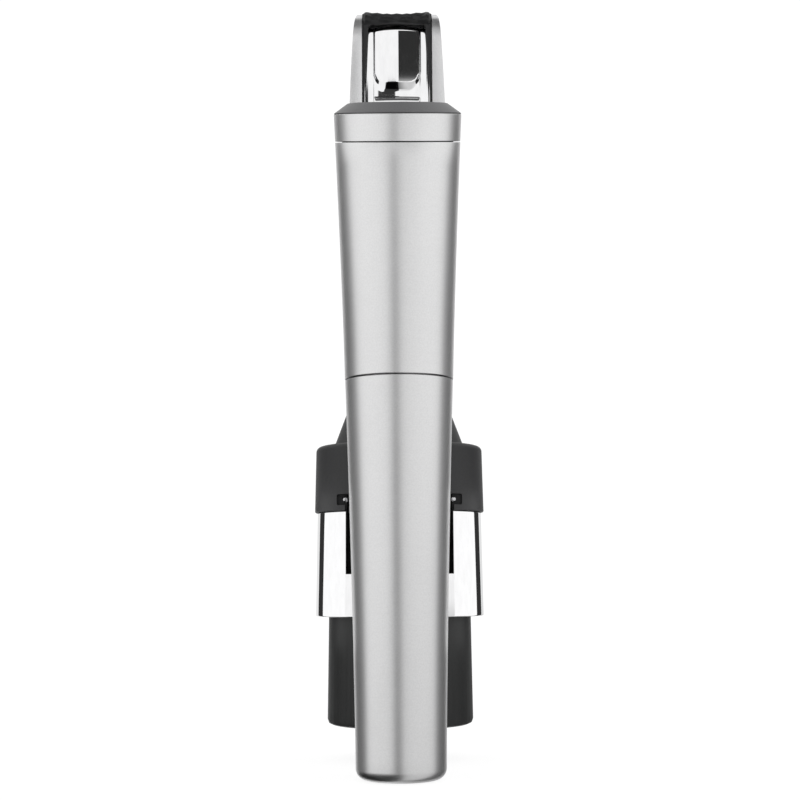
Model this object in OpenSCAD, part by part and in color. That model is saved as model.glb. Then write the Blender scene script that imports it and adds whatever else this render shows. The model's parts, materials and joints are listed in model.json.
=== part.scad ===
// Hand-held wine preservation dispenser, built as separate pieces.
// Needle and bottle axis on x=0 y=0, handle behind it at -y, spout to +y, z up.
// Seen in the photo from behind the handle, level with the clamp.

/* [Handle and cup] */
// needle axis back to handle axis
handle_y = 45; // [42:0.5:50]
// cup height from base to seam
cup_h = 100.4; // [90:0.1:110]
// cup radius just above its base
cup_base_r = 11.4; // [11:0.1:13]
// cup radius at the seam
cup_top_r = 13.88; // [13.5:0.02:15]
// radius that rounds the cup's bottom edge
cup_edge_r = 2.8; // [1:0.1:4]
// wall of cup and handle tubes
tube_wall = 1.4; // [1:0.1:2]
// open seam between cup and handle
seam_gap = 0.3; // [0.1:0.1:0.8]
// handle radius where it meets the collar
handle_top_r = 16.8; // [16:0.1:18]
// handle length on the axis, cup seam to collar seam
handle_len = 63.3; // [58:0.1:70]
// collar width on the axis
collar_w = 7.4; // [5:0.1:9]
// how far the collar's edges lean up to the front, degrees
collar_tilt = 16; // [8:1:20]
// depth of the sloped edge on the cap
cap_h = 2.9; // [2:0.1:5]
// how far that edge runs inwards
cap_in = 3.8; // [2:0.1:5]

/* [Capsule and regulator] */
// gas capsule radius
capsule_r = 9.3; // [9:0.1:9.8]
// top of the capsule's neck below the cup's seam
capsule_drop = 8.9; // [8:0.1:12]
// cushion under the capsule, from the cup's base
capsule_z = 5; // [4.5:0.1:6]
// radius of the capsule's neck
capsule_neck_r = 4.25; // [3.5:0.05:5]
// bore the regulator piston runs in
piston_bore_r = 7.5; // [6:0.1:8.5]
// piston clearance in that bore
piston_clear = 0.1; // [0.05:0.01:0.2]
// gas tube outer radius
gas_r = 1.25; // [1:0.05:1.5]

/* [Head and spout] */
// half width of the plated head cover
cowl_hw = 9.1; // [8.8:0.1:9.6]
// head cover above the head frame's beam
cowl_h = 23.1; // [21:0.1:25]
// handle axis to the back of the head cover
cowl_gap = 18.3; // [17.5:0.1:19]
// wall of the head cover
cowl_wall = 1.2; // [0.8:0.1:1.6]
// half width of the raised tongue on the back of the cover
tongue_hw = 6.3; // [5:0.1:7]
// how far that tongue stands proud
tongue_t = 0.9; // [0.5:0.1:1.2]
// length of the tongue below the top of the cover
tongue_h = 15.6; // [12:0.1:18]
// underside of the head above the collar's lower seam
head_up = 5.1; // [4.9:0.1:6]
// depth of the head frame's beam
beam_h = 9.2; // [8.8:0.1:10]
// spout axis above the underside of the head
spout_up = 4.7; // [4.4:0.1:5]
// spout outer radius
spout_r = 3.2; // [2.8:0.1:3.6]
// spout tip forward of the needle axis
spout_reach = 61.8; // [50:1:75]
// spout wall
spout_wall = 0.7; // [0.5:0.1:1]

/* [Trigger] */
// trigger pivot forward of the needle axis
pivot_y = -2; // [-4:0.5:0]
// trigger pivot above the head frame's beam
pivot_up = 2; // [1.8:0.1:3]
// pivot pin radius
pivot_r = 1.5; // [1.2:0.1:1.8]
// side arms clear of the head cover
arm_gap = 0.55; // [0.5:0.05:0.9]
// side arm thickness at the foot
arm_t = 3.1; // [2.6:0.05:3.6]
// side arm thickness near the top
arm_t_top = 1.8; // [1.5:0.05:2.6]
// thumb pad above the head cover
pad_up = 4.6; // [4.3:0.1:7]
// black frame beside the window, at its top
frame_w_top = 1.85; // [1.5:0.05:2.5]
// black frame beside the window, at its foot
frame_w_foot = 0.7; // [0.6:0.05:1.8]
// handle axis to the back of the black frame
frame_gap = 15; // [14.6:0.1:15.4]

/* [Needle] */
// needle radius
needle_r = 0.8; // [0.6:0.05:1]
// needle tip above the clamp housing's underside
needle_tip_up = 7.2; // [6:0.1:10]
// handle axis to the valve plunger
plunger_gap = 27; // [26:0.1:28]
// valve plunger stem radius
plunger_r = 2.2; // [1.8:0.1:2.4]

/* [Clamp] */
// clamp housing radius
housing_r = 24; // [23:0.1:25]
// underside of the clamp housing
housing_z = 67.8; // [66:0.1:69]
// depth of the clamp housing
housing_h = 19.2; // [17:0.1:22]
// height of the guide tower
tower_h = 25; // [21:0.1:25]
// tower set in from the housing at its foot
tower_in = 6.1; // [5:0.1:8]
// tower radius at its top
tower_top_r = 10.5; // [9.5:0.1:11.5]
// plated band set in from the housing
band_in = 0.3; // [0.2:0.1:1]
// plated band thickness
band_t = 1.2; // [1:0.1:1.6]
// plated band height
band_h = 28.5; // [24:0.1:32]
// half width of the slot behind the handle
slot_hw = 14.7; // [14:0.1:15.5]
// wide part of that slot down from the housing
slot_h = 16.8; // [12:0.1:22]
// rail half width
rail_hw = 6; // [5:0.1:6]
// rail thickness
rail_t = 4; // [3.5:0.1:4]
// handle axis to the back of the rail
rail_gap = 21; // [20:0.1:22]

/* [Jaws] */
// jaw hinge pin in from the jaw's outside
jaw_pin_in = 5.3; // [5:0.1:5.8]
// jaw hinge pin above the housing's underside
jaw_up = 3.5; // [3:0.1:4.5]
// jaw hinge pin radius
jaw_pin_r = 0.85; // [0.7:0.05:1]
// jaw clear of the band
jaw_gap = 2.5; // [2.2:0.1:2.8]
// jaw thickness
jaw_t = 3.0; // [2.8:0.1:3.4]
// jaw wider at the foot
jaw_flare = 0.4; // [0:0.1:0.8]
// jaw below the plated band
jaw_drop = 29.8; // [24:0.1:32]
// rubber pad thickness
pad_t = 2.75; // [2.2:0.05:3]
// bottle stop below the housing's underside
stop_h = 2.6; // [2:0.1:4]
// middle of the grip above the cup's base; the frame's origin is there
grip_z = 23.8; // [23:0.1:24.5]

/* [Hidden] */
$fn = 72;
e = 0.01;
hz0 = cup_h + seam_gap;
collar_z = cup_h + handle_len;
collar_top_z = collar_z + collar_w;
tube_top = collar_top_z + 8;
head_z = collar_z + head_up;
beam_top_z = head_z + beam_h;
spout_z = head_z + spout_up;
gas_z = head_z + 2.6;
shank_r = spout_r - 0.2;
cowl_top_z = beam_top_z + cowl_h;
pad_z = cowl_top_z + pad_up;
pivot_z = beam_top_z + pivot_up;
beam_hw = cowl_hw - cowl_wall - 0.05;
bore_top_r = handle_top_r - 2.1;
plug_r = bore_top_r - 0.1;
cap_neck_z = cup_h - capsule_drop;
rail_back = handle_y - rail_gap;
rail_y = rail_back - rail_t;
plunger_y = handle_y - plunger_gap;
frame_y = -handle_y + frame_gap;
block_back = rail_back + 2.6;
block_hw = rail_hw + 3.5;
arm_in = cowl_hw + arm_gap;
arm_out = arm_in + arm_t;
arm_out_top = arm_in + arm_t_top;
window_top = arm_in - frame_w_top;
window_foot = arm_in - frame_w_foot;
window_z = pad_z - 5.7;
housing_top_z = housing_z + housing_h;
tower_top_z = housing_top_z + tower_h;
tower_r = housing_r - tower_in;
needle_tip_z = housing_z + needle_tip_up;
band_r = housing_r - band_in;
band_in_r = band_r - band_t;
band_z = housing_z - band_h;
slot_z = housing_z - slot_h;
jaw_r = band_in_r - jaw_gap;
jaw_foot_r = jaw_r + jaw_flare;
jaw_in_r = jaw_r - jaw_t;
jaw_x = jaw_r - jaw_pin_in;
jaw_z = housing_z + jaw_up;
jaw_foot_z = band_z - jaw_drop;
neck_r = jaw_in_r - pad_t;
stop_z = housing_z - stop_h;

function cup_r(z) = cup_base_r + (cup_top_r - cup_base_r) * pow(max(z, 0) / cup_h, 1.35);
function tube_r(z) = cup_top_r + 0.09
  + (handle_top_r - cup_top_r - 0.09) * pow(max(z - cup_h, 0) / (collar_top_z - cup_h), 1.2);

module place() { translate([0, 0, -grip_z]) children(); }
module at_handle() { translate([0, -handle_y, 0]) children(); }
module side_cut(hw) { rotate([90, 0, 90]) translate([0, 0, -hw]) linear_extrude(2 * hw) children(); }
module tilt_above(z) {
  translate([0, -handle_y, z]) rotate([collar_tilt, 0, 0]) translate([-60, -60, 0]) cube([120, 120, 90]);
}
module ring(ro, ri, z0, z1) {
  difference() {
    translate([0, 0, z0]) cylinder(r = ro, h = z1 - z0);
    translate([0, 0, z0 - 1]) cylinder(r = ri, h = z1 - z0 + 2);
  }
}
module oring(rc, rm, z) { rotate_extrude() translate([rc, z]) circle(r = rm, $fn = 24); }
module box(x0, x1, y0, y1, z0, z1) { translate([x0, y0, z0]) cube([x1 - x0, y1 - y0, z1 - z0]); }
module both() { children(); mirror([1, 0, 0]) children(); }

// round wire wound n turns from z=0 to z=h
module coil(r, w, n, h) {
  steps = 10 * n;
  pts = [for (i = [0:steps]) let (a = 36 * i, z = w + (h - 2 * w) * i / steps)
    for (k = [0:5]) let (b = 60 * k)
      [(r + w * cos(b)) * cos(a), (r + w * cos(b)) * sin(a), z + w * sin(b)]];
  sides = [for (i = [0:steps - 1]) for (k = [0:5])
    [i * 6 + k, (i + 1) * 6 + k, (i + 1) * 6 + (k + 1) % 6, i * 6 + (k + 1) % 6]];
  polyhedron(points = pts, convexity = 12, faces = concat(sides,
    [[for (k = [0:5]) k]], [[for (k = [5:-1:0]) steps * 6 + k]]));
}

// ---------- handle ----------
module handle_shell() {
  color("silver") place() difference() {
    at_handle() rotate_extrude() polygon(concat(
      [for (i = [0:20]) let (z = hz0 + (tube_top - hz0) * i / 20) [tube_r(z), z]],
      [[bore_top_r, tube_top], [bore_top_r, collar_z - 12.7]],
      [for (i = [9:-1:0]) let (z = hz0 + (collar_z - 14.7 - hz0) * i / 9) [tube_r(z) - tube_wall, z]]));
    tilt_above(collar_z - 0.12);
  }
}

module collar_ring() {
  color("silver") place() difference() {
    at_handle() rotate_extrude() polygon(concat(
      [for (i = [0:10]) let (z = collar_z - 13.7 + (tube_top - collar_z + 13.7) * i / 10) [tube_r(z), z]],
      [[bore_top_r, tube_top], [bore_top_r, collar_z - 13.7]]));
    translate([0, 0, -90 / cos(collar_tilt)]) tilt_above(collar_z + 0.12);
    tilt_above(collar_top_z);
    box(-beam_hw - 0.1, beam_hw + 0.1, -handle_y, 0, head_z - 0.1, tube_top + 20);
  }
}

module cap_plate() {
  color("dimgray") place() difference() {
    intersection() {
      at_handle() cylinder(r = handle_top_r - 0.02, h = tube_top + 20, $fn = 96);
      translate([0, -handle_y, collar_top_z + 0.05]) rotate([collar_tilt, 0, 0])
        cylinder(r1 = handle_top_r + 0.4, r2 = handle_top_r - cap_in, h = cap_h, $fn = 96);
    }
    translate([0, -handle_y, collar_top_z]) rotate([collar_tilt, 0, 0])
      translate([0, 0, -1]) cylinder(r = 4, h = 2.2);
  }
}

module gas_path(r, extra) {
  y0 = -handle_y + 9.6;
  z0 = cup_h + 43.6 - extra;
  translate([0, y0, z0]) cylinder(r = r, h = gas_z - 3 - z0 + e, $fn = 32);
  translate([0, y0 + 3, gas_z - 3]) rotate([90, 0, -90])
    rotate_extrude(angle = 90) translate([3, 0]) circle(r = r, $fn = 32);
  translate([0, y0 + 3 - e, gas_z]) rotate([-90, 0, 0])
    cylinder(r = r, h = plunger_gap - 9.6 - 3 + extra, $fn = 32);
}

module head_frame() {
  color("#2b2b2d") place() difference() {
    union() {
      difference() {
        union() {
          at_handle() translate([0, 0, collar_z - 11.7]) cylinder(r = plug_r, h = 40);
          box(-beam_hw, beam_hw, -handle_y, -handle_y + 17.4, head_z, beam_top_z + 12);
        }
        tilt_above(collar_top_z - 0.05);
      }
      box(-beam_hw, beam_hw, -handle_y + 17.3, 0, head_z, beam_top_z);
      translate([0, 0, head_z]) cylinder(r = beam_hw, h = beam_top_z - head_z);
      both() box(5.6, beam_hw - 0.3, pivot_y - 3.2, pivot_y + 3.2, beam_top_z - 1, pivot_z + 4);
    }
    // open underside of the plug, down to the regulator
    at_handle() translate([0, 0, collar_z - 12.7]) cylinder(r = 12.2, h = 10);
    gas_path(gas_r + 0.1, 1);
    // way up to the valve
    translate([0, -plunger_y, gas_z]) cylinder(r = 0.8, h = 10, $fn = 24);
    // seat of the rail and its screws
    box(-rail_hw - 0.05, rail_hw + 0.05, -rail_back - 0.05, -rail_y + 0.05, head_z - 1, head_z + 6.4);
    both() translate([4, -rail_y - rail_t / 2, head_z + 1.2]) cylinder(r = 1.1, h = 20, $fn = 32);
    both() translate([4, -rail_y - rail_t / 2, beam_top_z - 1.7]) cylinder(r = 2, h = 3, $fn = 32);
    // needle hub and spout
    translate([0, 0, head_z - 1]) cylinder(r = 5, h = 9.3);
    translate([0, 0, spout_z]) rotate([-90, 0, 0]) cylinder(r = shank_r + 0.05, h = 20, $fn = 48);
    // pivot pin
    translate([-20, pivot_y, pivot_z]) rotate([0, 90, 0]) cylinder(r = pivot_r + 0.02, h = 40, $fn = 48);
  }
}

// cover seen from above: round at the front, square with rounded corners behind
module cowl_plan(grow) {
  w = cowl_hw + grow;
  r = 2 + grow;
  back = -handle_y + cowl_gap + tongue_t - grow;
  circle(r = w, $fn = 96);
  translate([-w, back + r]) square([2 * w, -back - r]);
  translate([-w + r, back]) square([2 * (w - r), -back]);
  for (s = [-1, 1]) translate([s * (w - r), back + r]) circle(r = r, $fn = 48);
}

// raised tongue on the back, bowed across and round at its foot
module cowl_tongue() {
  back = -handle_y + cowl_gap;
  z = cowl_top_z - tongue_h + tongue_hw;
  intersection() {
    translate([0, back + 3 + tongue_t, 0]) rotate([90, 0, 0]) linear_extrude(6) {
      translate([0, z]) circle(r = tongue_hw, $fn = 96);
      translate([-tongue_hw, z]) square([2 * tongue_hw, cowl_top_z - z]);
    }
    translate([0, back + 30, 0]) cylinder(r = 30, h = cowl_top_z + 20, $fn = 240);
    translate([-20, back, 0]) cube([40, 2, cowl_top_z + 20]);
  }
}

module cowl_side(grow) {
  t = cowl_top_z + grow;
  polygon([[-40, head_z + 0.6], [-40, t], [-12, t], [0, t - 8.9], [9.2, t - 17.4], [30, t - 30],
    [30, head_z + 0.6]]);
}

module head_cover() {
  color("gainsboro") place() difference() {
    intersection() {
      union() {
        linear_extrude(cowl_top_z + 20) cowl_plan(0);
        cowl_tongue();
      }
      side_cut(20) cowl_side(0);
      // rounded rear top edge
      translate([0, -handle_y + cowl_gap + 1.5, cowl_top_z - 1.5]) union() {
        rotate([0, 90, 0]) translate([0, 0, -20]) cylinder(r = 1.5, h = 40, $fn = 64);
        box(-20, 20, 0, 50, -60, 10);
        box(-20, 20, -20, 50, -60, 0);
      }
    }
    difference() {
      intersection() {
        translate([0, 0, -1]) linear_extrude(cowl_top_z + 20) cowl_plan(-cowl_wall);
        translate([0, 0, -10]) side_cut(20) polygon([[-40, head_z - 29], [-40, cowl_top_z + 10 - cowl_wall],
          [-12.4, cowl_top_z + 10 - cowl_wall], [0, cowl_top_z + 0.1 - cowl_wall],
          [9.2, cowl_top_z - 7.4 - cowl_wall - 1], [30, cowl_top_z - 20], [30, head_z - 29]]);
      }
      // guide for the valve plunger
      translate([0, -plunger_y, cowl_top_z - 5.4]) cylinder(r = 4.6, h = 10);
    }
    translate([0, -plunger_y, cowl_top_z - 11.4]) cylinder(r = plunger_r + 0.08, h = 20, $fn = 48);
    // way in for the beam
    box(-beam_hw - 0.05, beam_hw + 0.05, -handle_y, -handle_y + 25, head_z - 19, beam_top_z + 0.1);
    // rear skirt under the sight line
    box(-20, 20, -handle_y, -handle_y + 17.2, head_z - 19, beam_top_z + 0.1);
    translate([0, 0, spout_z]) rotate([-90, 0, 0]) cylinder(r = shank_r + 0.1, h = 20, $fn = 48);
    translate([-20, pivot_y, pivot_z]) rotate([0, 90, 0]) cylinder(r = pivot_r + 0.03, h = 40, $fn = 48);
  }
}

module trigger_pin() {
  color("silver") place() translate([-arm_out + 0.3, pivot_y, pivot_z]) rotate([0, 90, 0])
    cylinder(r = pivot_r, h = 2 * arm_out - 0.6, $fn = 48);
}

// ---------- rail, needle, spout ----------
module rail() {
  color("darkgray") place() difference() {
    box(-rail_hw, rail_hw, -rail_back, -rail_y, housing_z + 0.3, head_z + 6.3);
    translate([0, 0, gas_z]) rotate([90, 0, 0]) cylinder(r = gas_r + 0.15, h = 60, $fn = 32);
    both() translate([4, -rail_y - rail_t / 2, head_z - 0.8]) cylinder(r = 0.95, h = 20, $fn = 32);
    box(-3.1, 3.1, -rail_back - 1, -rail_back + 0.9, housing_z + 8.2, head_z - 6.8);
    translate([0, -rail_back - 1, housing_z + 1.6]) rotate([-90, 0, 0]) cylinder(r = 0.9, h = 20, $fn = 32);
    // step that the stop block fits
    box(-20, 20, -rail_y - 0.9, 0, housing_z - 8, housing_z + 3.2);
  }
}

module rail_screws() {
  color("silver") place() both() translate([4, -rail_y - rail_t / 2, 0]) {
    translate([0, 0, head_z + 0.7]) cylinder(r = 0.9, h = beam_h - 1.9, $fn = 32);
    translate([0, 0, beam_top_z - 1.65]) cylinder(r = 1.9, h = 1.6, $fn = 32);
  }
}

module rail_stop() {
  color("#2b2b2d") place() difference() {
    box(-8, 8, -rail_y - 0.85, -rail_y + 0.5, housing_z + 0.3, housing_z + 2.8);
    translate([0, -rail_back, housing_z + 1.6]) rotate([-90, 0, 0]) cylinder(r = 0.9, h = 20, $fn = 32);
  }
}

module stop_screw() {
  color("silver") place() translate([0, -rail_back + 0.1, housing_z + 1.6]) rotate([-90, 0, 0])
    cylinder(r = 0.85, h = rail_t + 0.3, $fn = 32);
}

module needle() {
  color("silver") place() difference() {
    union() {
      translate([0, 0, needle_tip_z + 4]) cylinder(r = needle_r, h = gas_z + 0.1 - needle_tip_z - 4, $fn = 24);
      translate([0, 0, needle_tip_z]) cylinder(r1 = 0.1, r2 = needle_r, h = 4, $fn = 24);
    }
    translate([0, 0, needle_tip_z + 8]) cylinder(r = needle_r - 0.3, h = head_z - needle_tip_z, $fn = 16);
    translate([-2, 0, needle_tip_z + 9]) rotate([0, 90, 0]) cylinder(r = 0.3, h = 4, $fn = 16);
  }
}

module needle_hub() {
  color("goldenrod") place() difference() {
    union() {
      translate([0, 0, head_z - 1]) cylinder(r = 4.93, h = 9.2);
      translate([0, 0, head_z - 1.8]) cylinder(r = 6, h = 1.7, $fn = 6);
    }
    translate([0, 0, head_z - 18.8]) cylinder(r = needle_r + 0.03, h = 21.5, $fn = 24);
    translate([0, 0, gas_z]) cylinder(r = 2.2, h = 4, $fn = 32);
    translate([0, 0, spout_z]) rotate([-90, 0, 0]) cylinder(r = 2, h = 20, $fn = 32);
    rotate_extrude() translate([3.9, head_z + 1.2]) square([2, 1.3]);
  }
}

module needle_seal() { color("black") place() oring(4.45, 0.5, head_z + 1.85); }

module spout() {
  color("silver") place() translate([0, 0, spout_z]) rotate([-90, 0, 0]) difference() {
    union() {
      translate([0, 0, 5.4]) cylinder(r = shank_r, h = 9, $fn = 64);
      translate([0, 0, 13.4]) cylinder(r = spout_r, h = spout_reach - 13.4, $fn = 64);
    }
    translate([0, 0, 5]) cylinder(r = spout_r - spout_wall, h = 100, $fn = 64);
    // slanted lip
    translate([-10, -spout_r - 0.1, spout_reach]) rotate([-58, 0, 0]) translate([0, -20, 0]) cube([20, 40, 20]);
  }
}

module spout_nut() {
  color("gainsboro") place() translate([0, 0, spout_z]) rotate([-90, 0, 0]) difference() {
    rotate_extrude() polygon([[shank_r + 0.04, 9.35], [5.2, 9.35], [5.2, 11.6], [4.2, 13.2],
      [shank_r + 0.04, 13.2]]);
    translate([-8, 5.2 - 0.75, 0]) cube([16, 4, 30]);
  }
}

// ---------- valve ----------
module valve_block() {
  y = -plunger_y;
  color("goldenrod") place() difference() {
    union() {
      box(-5.6, 5.6, y - 5.6, y + 5.6, beam_top_z + 0.02, beam_top_z + 14);
    }
    translate([0, y, beam_top_z - 1]) cylinder(r = 0.8, h = 30, $fn = 24);
    translate([0, y, beam_top_z + 0.5]) cylinder(r = 2.15, h = 30, $fn = 32);
    translate([0, y, beam_top_z + 6.5]) cylinder(r = 4, h = 30, $fn = 48);
    translate([0, y, beam_top_z + 4]) rotate([-90, 0, 0]) cylinder(r = 0.8, h = 20, $fn = 24);
  }
}

module valve_spring() {
  color("silver") place() translate([0, -plunger_y, beam_top_z + 6.55]) coil(2.9, 0.35, 5, 8.4);
}

module valve_plunger() {
  z0 = beam_top_z + 2.5;
  color("silver") place() translate([0, -plunger_y, 0]) difference() {
    union() {
      translate([0, 0, z0]) cylinder(r = 2.05, h = 3, $fn = 48);
      translate([0, 0, z0]) cylinder(r = 1.4, h = 14, $fn = 48);
      translate([0, 0, beam_top_z + 15]) cylinder(r = 3.6, h = 1.4, $fn = 48);
      translate([0, 0, beam_top_z + 16]) cylinder(r = plunger_r, h = pad_z - 2.8 - beam_top_z - 16, $fn = 48);
    }
    rotate_extrude() translate([1.02, z0 + 0.9]) square([2, 1.15]);
  }
}

module plunger_seal() {
  color("black") place() translate([0, -plunger_y, 0]) oring(1.56, 0.5, beam_top_z + 3.97);
}

module gas_tube() {
  color("goldenrod") place() difference() {
    gas_path(gas_r, 0);
    gas_path(gas_r - 0.5, 1);
  }
}

// ---------- trigger ----------
module arm_side() {
  y = frame_y;
  q = pivot_y + 2;
  polygon([[y - 0.5, pivot_z - 9], [y - 0.6, pivot_z + 6], [y - 1.2, pad_z - 10.5], [y - 1.4, pad_z - 5.5],
    [y - 0.6, pad_z - 2.1], [y + 1.6, pad_z - 0.9], [y + 6, pad_z - 0.8], [q - 14, pad_z - 0.8],
    [q - 9.5, pad_z - 0.7], [q - 4, pad_z - 4.3], [q + 1, pad_z - 9.9], [q + 4, pivot_z + 10],
    [q + 5, pivot_z + 3.5], [q + 5, pivot_z - 2], [q + 2.5, pivot_z - 5.8], [q - 1.5, pivot_z - 7.4],
    [q - 8, pivot_z - 7], [q - 16, pivot_z - 9]]);
}

module arms_outline() {
  polygon([for (s = [-1, 1], i = [0:7]) let (k = s < 0 ? i : 7 - i, p = [[arm_out + 0.3, pivot_z - 10],
      [arm_out - 0.15, pivot_z + 1], [(arm_out + 2 * arm_out_top) / 3 + 0.15, pivot_z + 11.5],
      [arm_out_top, pad_z - 9.6], [arm_out_top - 0.4, pad_z - 5.4], [arm_out_top - 1, pad_z - 2],
      [arm_out_top - 1.2, pad_z - 1.3], [arm_out_top - 1.7, pad_z - 0.8]][k]) [s * p[0], p[1]]]);
}

module trigger_arms() {
  color("lightgray") place() difference() {
    intersection() {
      union() {
        difference() {
          side_cut(20) arm_side();
          box(-arm_in, arm_in, -50, 50, head_z - 60, pad_z + 60);
        }
        // bridge across the front of the thumb pad
        side_cut(arm_in + 0.55) polygon([[-10.5, pad_z - 0.3], [-5.5, pad_z - 3.3], [-1, pad_z - 7.9],
          [-2.3, pad_z - 8.9], [-6.5, pad_z - 4.6], [-10.5, pad_z - 1.9]]);
      }
      rotate([90, 0, 0]) translate([0, 0, -40]) linear_extrude(80) arms_outline();
    }
    translate([-20, pivot_y, pivot_z]) rotate([0, 90, 0]) cylinder(r = pivot_r + 0.06, h = 40, $fn = 48);
  }
}

module trigger_frame() {
  color("#1c1c1e") place() {
    difference() {
      box(-arm_in + 0.05, arm_in - 0.05, frame_y, frame_y + 2.3, pivot_z - 7.5, pad_z - 1.6);
      rotate([90, 0, 0]) translate([0, 0, -1]) linear_extrude(60) {
        polygon([[-window_foot, pivot_z - 7.6], [-window_top, window_z - 0.8], [-window_top + 0.8, window_z],
          [window_top - 0.8, window_z], [window_top, window_z - 0.8], [window_foot, pivot_z - 7.6]]);
        for (s = [-1, 1]) translate([s * (window_top - 0.8), window_z - 0.8]) circle(r = 0.8, $fn = 32);
      }
      box(-20, 20, frame_y + 0.8, 0, window_z - 0.5, pad_z - 2.5);
    }
    box(-arm_in + 0.05, arm_in - 0.05, frame_y + 1.5, -10.7, pad_z - 2.5, pad_z - 1.6);
  }
}

module thumb_pad() {
  // shallow crossing grooves leave diamond facets on top and behind
  color("#141416") place() difference() {
    side_cut(arm_in - 0.05) polygon([[-handle_y + 13.8, pad_z - 6.5], [-handle_y + 13.3, pad_z - 2.9],
      [-handle_y + 14.1, pad_z - 1.1], [-handle_y + 16.6, pad_z], [-12, pad_z], [-10.8, pad_z - 0.4],
      [-10.8, pad_z - 1.55], [-handle_y + 14.9, pad_z - 1.55], [-handle_y + 14.95, pad_z - 6.5]]);
    for (s = [-1, 1], k = [-1, 0, 1])
      translate([k * 9.9, -20.5, pad_z + 0.35]) rotate([0, 0, s * 45]) rotate([45, 0, 0])
        translate([-30, -0.55, -0.55]) cube([60, 1.1, 1.1]);
    translate([0, -20.5, pad_z + 11.6]) rotate([90, 0, 0]) cylinder(r = 12, h = 40, center = true, $fn = 96);
  }
}

// ---------- regulator in the handle ----------
module cup_thread_ring() {
  color("silver") place() at_handle() ring(12.2, 9.9, cup_h - 11.6, cup_h + 1.55);
}

module regulator_body() {
  z0 = cup_h + 1.6;
  color("goldenrod") place() at_handle() difference() {
    union() {
      translate([0, 0, z0]) cylinder(r = tube_r(z0) - tube_wall - 0.04, h = 3);
      translate([0, 0, z0]) cylinder(r = 11.5, h = 46);
      translate([0, 0, cap_neck_z + 1.7]) cylinder(r = 6.5, h = z0 + 3 - cap_neck_z - 1.7);
    }
    translate([0, 0, z0 + 10]) cylinder(r = piston_bore_r, h = 50);
    translate([0, 0, cap_neck_z - 12]) cylinder(r = 1.55, h = z0 + 17 - cap_neck_z, $fn = 32);
    translate([0, 0, z0 - 2]) cylinder(r = 1.85, h = 20, $fn = 32);
    translate([0, 9.6, cup_h + 43.5]) cylinder(r = gas_r + 0.05, h = 10, $fn = 32);
    translate([0, 4, cup_h + 42.6]) rotate([-90, 0, 0]) cylinder(r = 0.6, h = 6, $fn = 24);
  }
}

module regulator_cap() {
  color("silver") place() at_handle() difference() {
    union() {
      translate([0, 0, cup_h + 39.6]) cylinder(r = piston_bore_r - 0.05, h = 8.1);
      translate([0, 0, cup_h + 47.65]) cylinder(r = 7.9, h = 2.2);
    }
    translate([0, 0, cup_h + 45.6]) cylinder(r = 2.6, h = 10, $fn = 6);
  }
}

module regulator_spring() {
  color("silver") place() at_handle() translate([0, 0, cup_h + 20.65]) coil(5, 0.6, 6, 18.9);
}

module regulator_piston() {
  r = piston_bore_r - piston_clear;
  color("silver") place() at_handle() difference() {
    union() {
      translate([0, 0, cup_h + 15.6]) cylinder(r = r, h = 5);
      translate([0, 0, cup_h + 7.6]) cylinder(r = 1.75, h = 9, $fn = 32);
    }
    rotate_extrude() translate([r - 1.6, cup_h + 17.3]) square([4, 1.6]);
  }
}

module piston_seal() {
  color("black") place() at_handle() oring(piston_bore_r - piston_clear - 0.77, 0.74, cup_h + 18.1);
}

module piercer() {
  color("silver") place() at_handle() {
    translate([0, 0, cap_neck_z + 0.5]) cylinder(r = 1.5, h = cup_h + 5.6 - cap_neck_z - 0.5, $fn = 32);
    translate([0, 0, cap_neck_z - 2.5]) cylinder(r1 = 0.1, r2 = 0.95, h = 3.1, $fn = 32);
  }
}

module capsule_seal() {
  color("black") place() at_handle() difference() {
    translate([0, 0, cap_neck_z + 0.3]) cylinder(r = 4, h = 1.38);
    translate([0, 0, cap_neck_z]) cylinder(r = 1.55, h = 4, $fn = 32);
  }
}

// ---------- cup ----------
module capsule_cup() {
  color("silver") place() at_handle() rotate_extrude() polygon(concat(
    [[0, 0]],
    [for (a = [0:15:90]) [cup_r(cup_edge_r) - cup_edge_r + cup_edge_r * sin(a), cup_edge_r * (1 - cos(a))]],
    [for (i = [1:20]) let (z = cup_edge_r + (cup_h - cup_edge_r) * i / 20) [cup_r(z), z]],
    [[12.35, cup_h], [12.35, cup_h - 12.2]],
    [for (i = [9:-1:0]) let (z = 4 + (cup_h - 13.2 - 4) * i / 9) [min(12.3, cup_r(z) - tube_wall + 0.1), z]],
    [[8.6, 1.8], [0, 1.8]]));
}

module cup_cushion() {
  color("#1c1c1e") place() at_handle() difference() {
    union() {
      translate([0, 0, 1.85]) cylinder(r1 = 8.5, r2 = 9.9, h = 2.3);
      translate([0, 0, 4.1]) cylinder(r = 9.9, h = capsule_z - 0.1);
    }
    translate([0, 0, capsule_z + capsule_r]) sphere(r = capsule_r + 0.04, $fn = 96);
  }
}

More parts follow.
